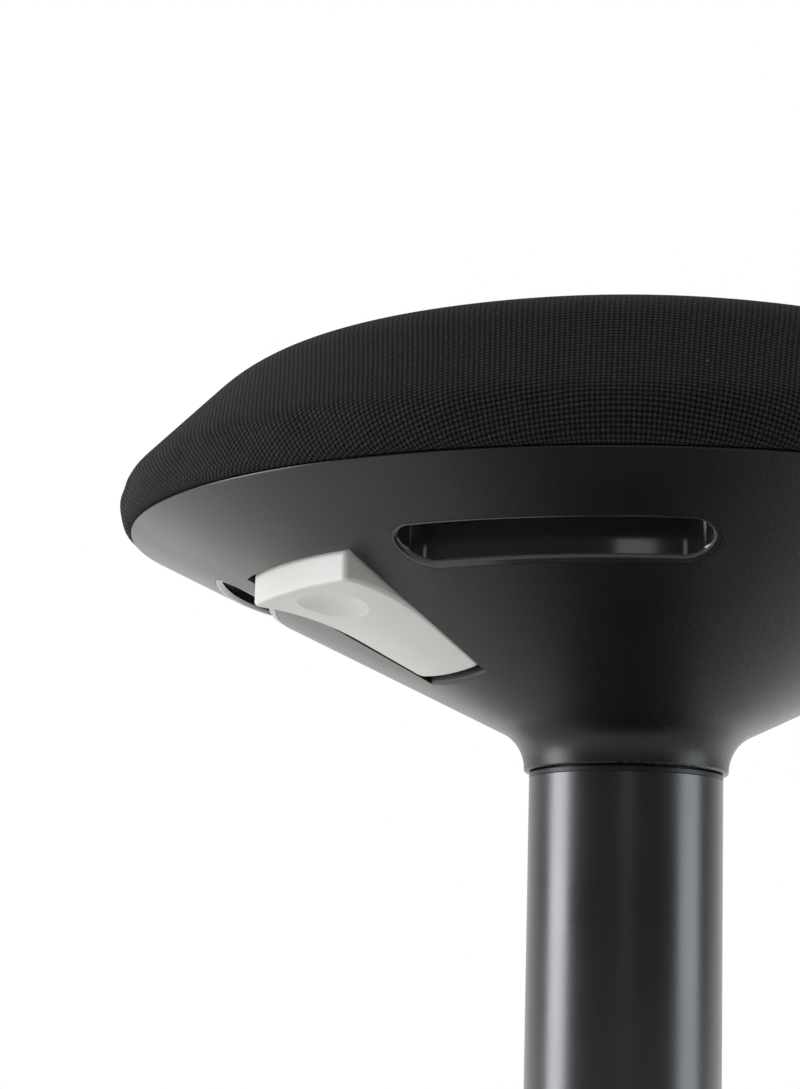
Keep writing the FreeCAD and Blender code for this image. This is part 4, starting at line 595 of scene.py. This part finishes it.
@dataclass
class Cushion:
    """The crowned seat cushion: woven cover over foam, tucked in at the shell's rim.

    Attributes:
        crown_radius: radius of the top's slow crown.
        shoulder_radius: radius from the crown down to the side.
        side_slope: the side's lean from level.
        nose_radius: radius of the widest turn.
        nose_rise: height of that turn's centre above the shell's rim.
        tuck_radius: radius of the turn in under the nose.
        lip_height: height of the shell's lip above its rim line.
        seat_gap: clearance to the shell's lip.
        cloth_thickness: thickness of the cover.
        cloth_tuck: how far the cover goes in under the board.
        spacing: distance between the rings of the mesh.
        segments: number of steps round the cushion.
        swell: how far the cloth may be blown out by the simulation.
        held_foot: height above the foot over which the swell grows to its full size.
        held_middle: distance from the axis over which it does.
        pressure: pressure inside the cover, in the simulation's unit.
        slack: share by which the cover is cut larger than its starting shape.
        steps: frames of the simulation.
        quality: rounds of working out in each frame.
        hair: clearance between the cover and the board.
        arc_steps: fewest steps of an arc in the section.
        cloth_corners: number of the lining's runs that the cloth covers.
    """

    crown_radius: float = 442.0 * MM
    shoulder_radius: float = 54.0 * MM
    side_slope: float = math.radians(45.3)
    nose_radius: float = 16.6 * MM
    nose_rise: float = 9.65 * MM
    tuck_radius: float = 5.0 * MM
    lip_height: float = 0.6 * MM
    seat_gap: float = 0.3 * MM
    cloth_thickness: float = 1.0 * MM
    cloth_tuck: float = 17.0 * MM
    spacing: float = 3.2 * MM
    segments: int = 168
    swell: float = 2.5 * MM
    held_foot: float = 14.0 * MM
    held_middle: float = 70.0 * MM
    pressure: float = 6.0
    slack: float = 0.026
    steps: int = 12
    quality: int = 6
    hair: float = 0.1 * MM
    arc_steps: int = 4
    cloth_corners: int = 4

    def __post_init__(self) -> None:
        """Take the places that the frame settles."""
        cover_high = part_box("fabric_cover")[1]
        shell_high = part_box("under_shell")[1]
        board_low, board_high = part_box("seat_board")
        self.widest = cover_high.x
        self.top = cover_high.z
        self.rim = shell_high.z - self.lip_height
        self.foot = shell_high.z + self.seat_gap
        self.board_radius = board_high.x
        self.board_bottom = board_low.z
        self.board_top = board_high.z

    def skin(self) -> list[Vector]:
        """Half section of the outside, from the top's middle down to the foot, as evenly spaced points.

        Returns:
            Points (radius, height) along a crown arc, a shoulder arc, a straight side, a nose arc and a
            tuck arc that run on from each other.
        """
        outward = Vector((math.sin(self.side_slope), math.cos(self.side_slope)))
        along = Vector((-math.cos(self.side_slope), math.sin(self.side_slope)))
        nose = Vector((self.widest - self.nose_radius, self.rim + self.nose_rise))
        crown = Vector((0.0, self.top - self.crown_radius))
        start = nose + outward * self.nose_radius
        inset = start - outward * self.shoulder_radius
        gap = inset - crown
        reach = self.crown_radius - self.shoulder_radius
        run = math.sqrt(gap.dot(along) ** 2 - gap.dot(gap) + reach ** 2) - gap.dot(along)
        shoulder = inset + along * run
        to_crown = math.atan2(shoulder.y - crown.y, shoulder.x)
        to_side = math.atan2(outward.y, outward.x)
        turn = self.nose_radius - self.tuck_radius
        to_tuck = math.asin((self.foot + self.tuck_radius - nose.y) / turn)
        tuck = nose + Vector((math.cos(to_tuck), math.sin(to_tuck))) * turn
        points = self.arc(crown, self.crown_radius, math.pi / 2, to_crown)
        points += self.arc(shoulder, self.shoulder_radius, to_crown, to_side)[1:]
        steps = max(1, round(run / self.spacing))
        points += [start + along * run * (1.0 - step / steps) for step in range(1, steps)]
        points += self.arc(nose, self.nose_radius, to_side, to_tuck)
        points += self.arc(tuck, self.tuck_radius, to_tuck, -math.pi / 2)[1:]
        return points

    def arc(self, centre: Vector, radius: float, first: float, last: float) -> list[Vector]:
        """Points along an arc, about one spacing apart, with both ends."""
        steps = max(self.arc_steps, round(abs(last - first) * radius / self.spacing))
        angles = [first + (last - first) * step / steps for step in range(steps + 1)]
        return [centre + Vector((math.cos(angle), math.sin(angle))) * radius for angle in angles]

    def lining(self) -> list[Vector]:
        """Half section of what is hidden: over the rim, under the board's edge and over the board."""
        edge = self.board_radius + self.cloth_thickness
        inside = self.board_radius - self.cloth_tuck
        return [
            Vector((edge, self.foot)),
            Vector((edge, self.board_bottom - self.cloth_thickness)),
            Vector((inside, self.board_bottom - self.cloth_thickness)),
            Vector((inside, self.board_bottom - self.hair)),
            Vector((self.board_radius + self.hair, self.board_bottom - self.hair)),
            Vector((self.board_radius + self.hair, self.board_top + self.hair)),
            Vector((0.0, self.board_top + self.hair)),
        ]

    def build(self) -> bpy.types.Object:
        """Turn the section into a closed mesh with its cloth map.

        Returns:
            The cushion's object.
        """
        skin = self.skin()
        section = skin + self.lining()
        lengths = [0.0]
        for before, after in zip(section, section[1:]):
            lengths.append(lengths[-1] + (after - before).length)
        mesh = bmesh.new()
        cloth = mesh.loops.layers.uv.new("cloth")
        rings = [self.ring(mesh, spot) for spot in section]
        edge_of_cloth = len(skin) + self.cloth_corners
        for index in range(len(rings) - 1):
            self.band(mesh, rings[index], rings[index + 1], 0 if index < edge_of_cloth else 1)
        reach = {}
        for index, ring in enumerate(rings):
            for vertex in ring:
                reach[vertex.index] = lengths[index]
        for face in mesh.faces:
            for loop in face.loops:
                place = loop.vert.co.xy
                out = place.normalized() if place.length > 0.0 else place
                loop[cloth].uv = out * reach[loop.vert.index]
        bmesh.ops.recalc_face_normals(mesh, faces=mesh.faces)
        data = bpy.data.meshes.new("seat_cushion")
        mesh.to_mesh(data)
        mesh.free()
        cushion = bpy.data.objects.new("seat_cushion", data)
        bpy.context.scene.collection.objects.link(cushion)
        self.inflate(cushion, len(skin))
        self.finish(cushion)
        return cushion

    def ring(self, mesh: bmesh.types.BMesh, spot: Vector) -> list[Any]:
        """Add one ring of vertices, or a single one on the axis, and return it."""
        count = 1 if spot.x < self.hair else self.segments
        ring = []
        for step in range(count):
            angle = 2 * math.pi * step / self.segments
            place = (spot.x * math.cos(angle), spot.x * math.sin(angle), spot.y)
            vertex = mesh.verts.new(place)
            vertex.index = len(mesh.verts) - 1
            ring.append(vertex)
        return ring

    def band(self, mesh: bmesh.types.BMesh, first: list[Any], second: list[Any], finish: int) -> None:
        """Join two neighbouring rings with faces of one finish."""
        for step in range(self.segments):
            after = (step + 1) % self.segments
            if len(first) == 1:
                corners = (first[0], second[step], second[after])
            elif len(second) == 1:
                corners = (first[step], second[0], first[after])
            else:
                corners = (first[step], second[step], second[after], first[after])
            face = mesh.faces.new(corners)
            face.material_index = finish
            face.smooth = True

    def swell_depths(self, full: list[Vector], free: int) -> list[float]:
        """How far in each vertex starts, which is as far as it may be blown out.

        Args:
            full: the vertices' places in the full shape.
            free: number of vertices that show, which come first.

        Returns:
            A depth for each vertex, 0 at the foot, at the top's middle and where it is hidden.
        """
        depths = []
        for index, spot in enumerate(full):
            rise = max(0.0, min(1.0, (spot.z - self.foot) / self.held_foot))
            spread = min(1.0, spot.xy.length / self.held_middle)
            depths.append(self.swell * rise * spread if index < free else 0.0)
        return depths

    def inflate(self, cushion: bpy.types.Object, skin_rings: int) -> None:
        """Blow the cover out over its foam by cloth simulation, no further than the swell.

        Args:
            cushion: the closed mesh, in its full shape.
            skin_rings: number of rings that show.
        """
        full = [vertex.co.copy() for vertex in cushion.data.vertices]
        normals = [vertex.normal.copy() for vertex in cushion.data.vertices]
        depths = self.swell_depths(full, 1 + (skin_rings - 1) * self.segments)
        pins = cushion.vertex_groups.new(name="held")
        pins.add([index for index, depth in enumerate(depths) if depth == 0.0], 1.0, "REPLACE")
        for index, vertex in enumerate(cushion.data.vertices):
            vertex.co = full[index] - normals[index] * depths[index]
        start = [vertex.co.copy() for vertex in cushion.data.vertices]
        cloth = cushion.modifiers.new("cover", "CLOTH")
        cloth.settings.vertex_group_mass = pins.name
        cloth.settings.use_pressure = True
        cloth.settings.uniform_pressure_force = self.pressure
        cloth.settings.shrink_min = -self.slack
        cloth.settings.effector_weights.gravity = 0.0
        cloth.settings.quality = self.quality
        cloth.point_cache.frame_end = self.steps
        for frame in range(1, self.steps + 1):
            bpy.context.scene.frame_set(frame)
        shaped = cushion.evaluated_get(bpy.context.evaluated_depsgraph_get())
        blown = [vertex.co.copy() for vertex in shaped.data.vertices]
        cushion.modifiers.clear()
        bpy.context.scene.frame_set(1)
        for index, vertex in enumerate(cushion.data.vertices):
            push = blown[index] - start[index]
            outward = max(0.0, min(depths[index], push.dot(normals[index])))
            vertex.co = start[index] + normals[index] * outward
        cushion.vertex_groups.clear()
        cushion.data.update()

    def finish(self, cushion: bpy.types.Object) -> None:
        """Smooth the cushion once, hang it on the seat and hide the frame's cover and foam."""
        smooth = cushion.modifiers.new("smooth", "SUBSURF")
        smooth.levels = 1
        smooth.render_levels = 1
        smooth.uv_smooth = "NONE"
        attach(cushion, "seat")
        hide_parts("fabric_cover", "foam_pad")


@dataclass
class CarriedNodes:
    """A sub-assembly whose solids keep their shape and get their finish here.

    Attributes:
        name: what the sub-assembly is called.
        finishes: the material slot of each of its nodes.
    """

    name: str
    finishes: dict[str, str]

    def dress(self, frame: dict[str, Any], wardrobe: Wardrobe) -> None:
        """Give every node of the sub-assembly its material."""
        for node, slot in self.finishes.items():
            wardrobe.dress(frame["nodes"][node], slot)
        LOG.info("%s: %d pieces", self.name, len(self.finishes))


BASE = CarriedNodes("base", {
    "rocker_foot": "foot_rubber",
    "foot_screws": "plain_steel",
    "ballast_plate": "plate_iron",
    "base_cover": "cover_plastic",
    "cover_screws": "plain_steel",
    "column_socket": "plain_steel",
    "socket_bolts": "plain_steel",
})

COLUMN = CarriedNodes("column", {
    "outer_tube": "column_paint",
    "tube_ring": "guide_plastic",
    "inner_tube": "column_paint",
    "stand_tube": "plain_steel",
    "stand_bush": "guide_plastic",
    "bearing_lower_race": "plain_steel",
    "bearing_balls": "polished_steel",
    "bearing_cage": "guide_plastic",
    "bearing_upper_race": "plain_steel",
    "piston_rod": "polished_steel",
    "rod_washer": "plain_steel",
    "rod_clip": "plain_steel",
    "piston": "piston_metal",
    "piston_seal": "foot_rubber",
    "bump_stop": "foot_rubber",
    "gas_cylinder": "cylinder_paint",
    "cylinder_end_guide": "guide_plastic",
    "valve_body": "piston_metal",
    "release_button": "polished_steel",
})

SEAT_FRAME = CarriedNodes("seat frame", {
    "taper_hub": "plain_steel",
    "hub_plate": "plain_steel",
    "hub_screws": "plain_steel",
    "t_nuts": "plain_steel",
    "lever_pin": "plain_steel",
    "pin_clips": "plain_steel",
    "seat_board": "plywood",
    "shell_catches": "shell_plastic",
})

SHELL = CarriedNodes("shell", {
    "under_shell": "shell_plastic",
    "grip_cup_front": "cup_plastic",
    "grip_cup_left": "cup_plastic",
    "grip_cup_back": "cup_plastic",
    "grip_cup_right": "cup_plastic",
})

LEVER = CarriedNodes("lever", {
    "lever_arm": "plain_steel",
    "lever_paddle": "lever_plastic",
    "paddle_screws": "plain_steel",
})


@dataclass
class Softbox:
    """A soft lamp that faces the stool.

    Attributes:
        name: what the lamp is called.
        bearing: degrees round the stool from the camera's side, to the right.
        distance: how far it stands from the column's axis.
        height: height of its middle.
        width: its width.
        tall: its height from edge to edge.
        radiance: how bright its face is, where 1 is white.
        colour: its tint.
    """

    name: str
    bearing: float
    distance: float
    height: float
    width: float
    tall: float
    radiance: float
    colour: Colour = WHITE

    def place(self, facing: float, aim: Vector) -> None:
        """Stand the lamp in the scene.

        Args:
            facing: bearing of the camera's side, in radians from -Y to +X.
            aim: the point that the lamp faces.
        """
        turn = facing + math.radians(self.bearing)
        spot = Vector((math.sin(turn) * self.distance, -math.cos(turn) * self.distance, self.height))
        data = bpy.data.lights.new(self.name, "AREA")
        data.shape = "RECTANGLE"
        data.size = self.width
        data.size_y = self.tall
        data.energy = self.radiance * math.pi * self.width * self.tall
        data.color = self.colour
        lamp = bpy.data.objects.new(self.name, data)
        lamp.location = spot
        lamp.rotation_mode = "QUATERNION"
        lamp.rotation_quaternion = (aim - spot).to_track_quat("-Z", "Y")
        lamp.visible_camera = False
        bpy.context.scene.collection.objects.link(lamp)


@dataclass
class Studio:
    """Camera, lamps, floor and backdrop.

    Attributes:
        SENSOR: long side of the picture on the sensor, in millimetres.
        FARTHEST: how far the camera sees.
        camera_bearing: the camera's bearing from -Y to +X, in degrees.
        camera_distance: level distance from the column's axis.
        camera_height: height above the floor.
        heading: bearing of the view from +Y to +X, in degrees.
        pitch: upward tilt of the view, in degrees.
        roll: turn of the picture, in degrees.
        lens: focal length, in millimetres.
        lamp_aim: height of the point that the lamps face.
        floor_radius: radius of the floor.
        floor_sides: number of its edges.
        floor_roughness: roughness of the floor.
        foot_floor: distance from the darker floor's middle at which gloss begins to see a glow.
        near_floor: distance at which that glow is full.
        shadow_floor: distance from the axis within which the camera sees the floor's own shade.
        white_floor: distance from which it is as white as the backdrop.
        floor_colour: the floor's own colour.
        floor_glow: share of white that the near floor shows to the camera, under its own shade.
        mirror_glow: share of white that gloss sees in the floor behind the stool.
        glow_tint: faint tint of what gloss sees there.
        shade_shift: how far the darker floor round the foot reaches over to the camera's left.
        glow_first: cosine, from straight away from the camera, at which the floor's glow starts.
        glow_full: cosine at which it is full.
        backdrop_white: how bright the backdrop is in reflections.
        backdrop_first: cosine at which the backdrop's white starts.
        backdrop_full: cosine at which it is full.
        room: how bright the rest of the room is.
        room_tint: the room's faint tint.
    """

    SENSOR = 36.0
    FARTHEST = 100.0

    camera_bearing: float = 10.3
    camera_distance: float = 1.0352
    camera_height: float = 0.2434
    heading: float = -15.08
    pitch: float = 10.5
    roll: float = 1.51
    lens: float = 91.89
    lamp_aim: float = 0.35
    floor_radius: float = 30.0
    floor_sides: int = 96
    floor_roughness: float = 0.9
    foot_floor: float = 0.42
    near_floor: float = 0.95
    shadow_floor: float = 0.35
    white_floor: float = 0.85
    floor_colour: Colour = (0.74, 0.74, 0.74)
    floor_glow: float = 0.38
    mirror_glow: float = 1.0
    glow_tint: Colour = (1.0, 0.985, 0.955)
    shade_shift: float = 0.18
    glow_first: float = 0.0
    glow_full: float = 0.6
    backdrop_white: float = 1.0
    backdrop_first: float = 0.15
    backdrop_full: float = 0.95
    room: float = 0.05
    room_tint: Colour = (0.94, 0.975, 1.0)

    def build(self) -> None:
        """Set everything up."""
        facing = math.radians(self.camera_bearing)
        self.build_camera(facing)
        for lamp in self.lamps():
            lamp.place(facing, Vector((0.0, 0.0, self.lamp_aim)))
        self.build_floor(facing)
        self.build_world(facing)
        bpy.context.scene.view_settings.view_transform = "Standard"

    @staticmethod
    def lamps() -> list[Softbox]:
        """The lamps: two at the sides, a small one behind the camera and a weak one over the seat."""
        return [
            Softbox("left_softbox", bearing=-83.5, distance=0.95, height=0.46, width=0.43, tall=0.9,
                    radiance=5.7, colour=(0.93, 0.95, 1.0)),
            Softbox("right_softbox", bearing=80.0, distance=1.0, height=0.46, width=0.53, tall=0.9,
                    radiance=2.4, colour=(0.89, 0.955, 1.0)),
            Softbox("front_softbox", bearing=2.0, distance=2.4, height=0.88, width=0.5, tall=0.42,
                    radiance=0.95),
            Softbox("top_softbox", bearing=-4.0, distance=1.05, height=1.8, width=1.6, tall=1.6,
                    radiance=1.5),
        ]

    def build_camera(self, facing: float) -> None:
        """Place the camera at the photograph's viewpoint."""
        data = bpy.data.cameras.new("camera")
        data.sensor_width = self.SENSOR
        data.lens = self.lens
        data.clip_end = self.FARTHEST
        camera = bpy.data.objects.new("camera", data)
        heading = math.radians(self.heading)
        pitch = math.radians(self.pitch)
        forward = Vector((math.sin(heading), math.cos(heading), math.tan(pitch))).normalized()
        level = Vector((math.cos(heading), -math.sin(heading), 0.0))
        upright = level.cross(forward)
        roll = math.radians(self.roll)
        right = level * math.cos(roll) + upright * math.sin(roll)
        above = upright * math.cos(roll) - level * math.sin(roll)
        turn = Matrix((right, above, -forward)).transposed().to_4x4()
        reach = self.camera_distance
        spot = Vector((math.sin(facing) * reach, -math.cos(facing) * reach, self.camera_height))
        camera.matrix_world = Matrix.Translation(spot) @ turn
        bpy.context.scene.collection.objects.link(camera)
        bpy.context.scene.camera = camera

    @staticmethod
    def behind(graph: Graph, direction: Value, facing: float, first: float,
               full: float) -> bpy.types.NodeSocket:
        """Share of a glow that lies behind the stool: none on the camera's side, all straight behind.

        Args:
            graph: the node tree to build in.
            direction: socket with a direction or a place, from the column's axis.
            facing: bearing of the camera's side.
            first: cosine, from straight away from the camera, at which the share starts.
            full: cosine at which it is full.

        Returns:
            The socket with the share.
        """
        level = graph.vector("NORMALIZE", direction)
        away = (-math.sin(facing), math.cos(facing), 0.0)
        across = graph.vector("DOT_PRODUCT", level.outputs[0], away)
        return graph.spread(across.outputs["Value"], first, full, 0.0, 1.0)

    def build_floor(self, facing: float) -> None:
        """Lay a pale floor that shows white to the camera and keeps the stool's shadow.

        Args:
            facing: bearing of the camera's side.
        """
        bpy.ops.mesh.primitive_circle_add(vertices=self.floor_sides, radius=self.floor_radius,
                                          fill_type="NGON")
        floor = bpy.context.object
        floor.name = "floor"
        material = bpy.data.materials.new("pale_floor")
        material.use_nodes = True
        graph = Graph(material.node_tree)
        shader = material.node_tree.nodes["Principled BSDF"]
        shader.inputs["Roughness"].default_value = self.floor_roughness
        shader.inputs["Specular IOR Level"].default_value = 0.0
        place = graph.object_place()
        shift = (math.cos(facing) * self.shade_shift, math.sin(facing) * self.shade_shift, 0.0)
        shaded = graph.vector("LENGTH", graph.vector("ADD", place, shift).outputs[0])
        away = graph.vector("LENGTH", place)
        path = graph.node("ShaderNodeLightPath")
        far = graph.spread(away.outputs["Value"], self.shadow_floor, self.white_floor, 0.0, 1.0)
        bare = graph.maths("MULTIPLY", path.outputs["Is Camera Ray"], far)
        colour = graph.blend(bare, opaque(self.floor_colour), opaque(BLACK))
        graph.put(shader.inputs["Base Color"], colour)
        shown = graph.spread(far, 0.0, 1.0, self.floor_glow, 1.0)
        near = graph.spread(shaded.outputs["Value"], self.foot_floor, self.near_floor, 0.0,
                            self.mirror_glow)
        behind = self.behind(graph, place, facing, self.glow_first, self.glow_full)
        glow = graph.maths("MULTIPLY", near, behind)
        mirrored = graph.maths("ADD", path.outputs["Is Glossy Ray"], path.outputs["Is Transmission Ray"])
        mirrored = graph.maths("MULTIPLY", mirrored, glow)
        seen = graph.maths("MULTIPLY", path.outputs["Is Camera Ray"], shown)
        tint = graph.blend(path.outputs["Is Camera Ray"], opaque(self.glow_tint), opaque(WHITE))
        graph.put(shader.inputs["Emission Color"], tint)
        graph.put(shader.inputs["Emission Strength"], graph.maths("MAXIMUM", seen, mirrored))
        floor.data.materials.append(material)

    def build_world(self, facing: float) -> None:
        """Light the room: a white backdrop behind the stool and a dimmer room on the camera's side."""
        world = bpy.data.worlds.new("studio")
        world.use_nodes = True
        bpy.context.scene.world = world
        graph = Graph(world.node_tree)
        world.node_tree.nodes.clear()
        direction = graph.node("ShaderNodeTexCoord").outputs["Generated"]
        span = self.backdrop_white - self.room
        share = self.behind(graph, direction, facing, self.backdrop_first, self.backdrop_full)
        behind = graph.maths("ADD", graph.maths("MULTIPLY", share, span), self.room)
        path = graph.node("ShaderNodeLightPath")
        level = graph.maths("MAXIMUM", behind, path.outputs["Is Camera Ray"])
        background = graph.node("ShaderNodeBackground")
        tint = graph.blend(level, opaque(self.room_tint), opaque(WHITE))
        graph.put(background.inputs["Color"], tint)
        graph.put(background.inputs["Strength"], level)
        output = graph.node("ShaderNodeOutputWorld")
        graph.put(output.inputs["Surface"], background.outputs[0])


def main() -> None:
    """Load the frame, build the looks and report each piece."""
    logging.basicConfig(level=logging.INFO, format="%(name)s: %(message)s")
    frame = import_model()
    bpy.ops.object.select_all(action="DESELECT")
    wardrobe = Wardrobe()
    cushion = Cushion().build()
    wardrobe.dress(cushion, "woven_fabric", "seat_foam")
    LOG.info("cushion: %d faces", len(cushion.data.polygons))
    for part in (SHELL, LEVER, SEAT_FRAME, COLUMN, BASE):
        part.dress(frame, wardrobe)
    Studio().build()


if __name__ == "__main__":
    main()
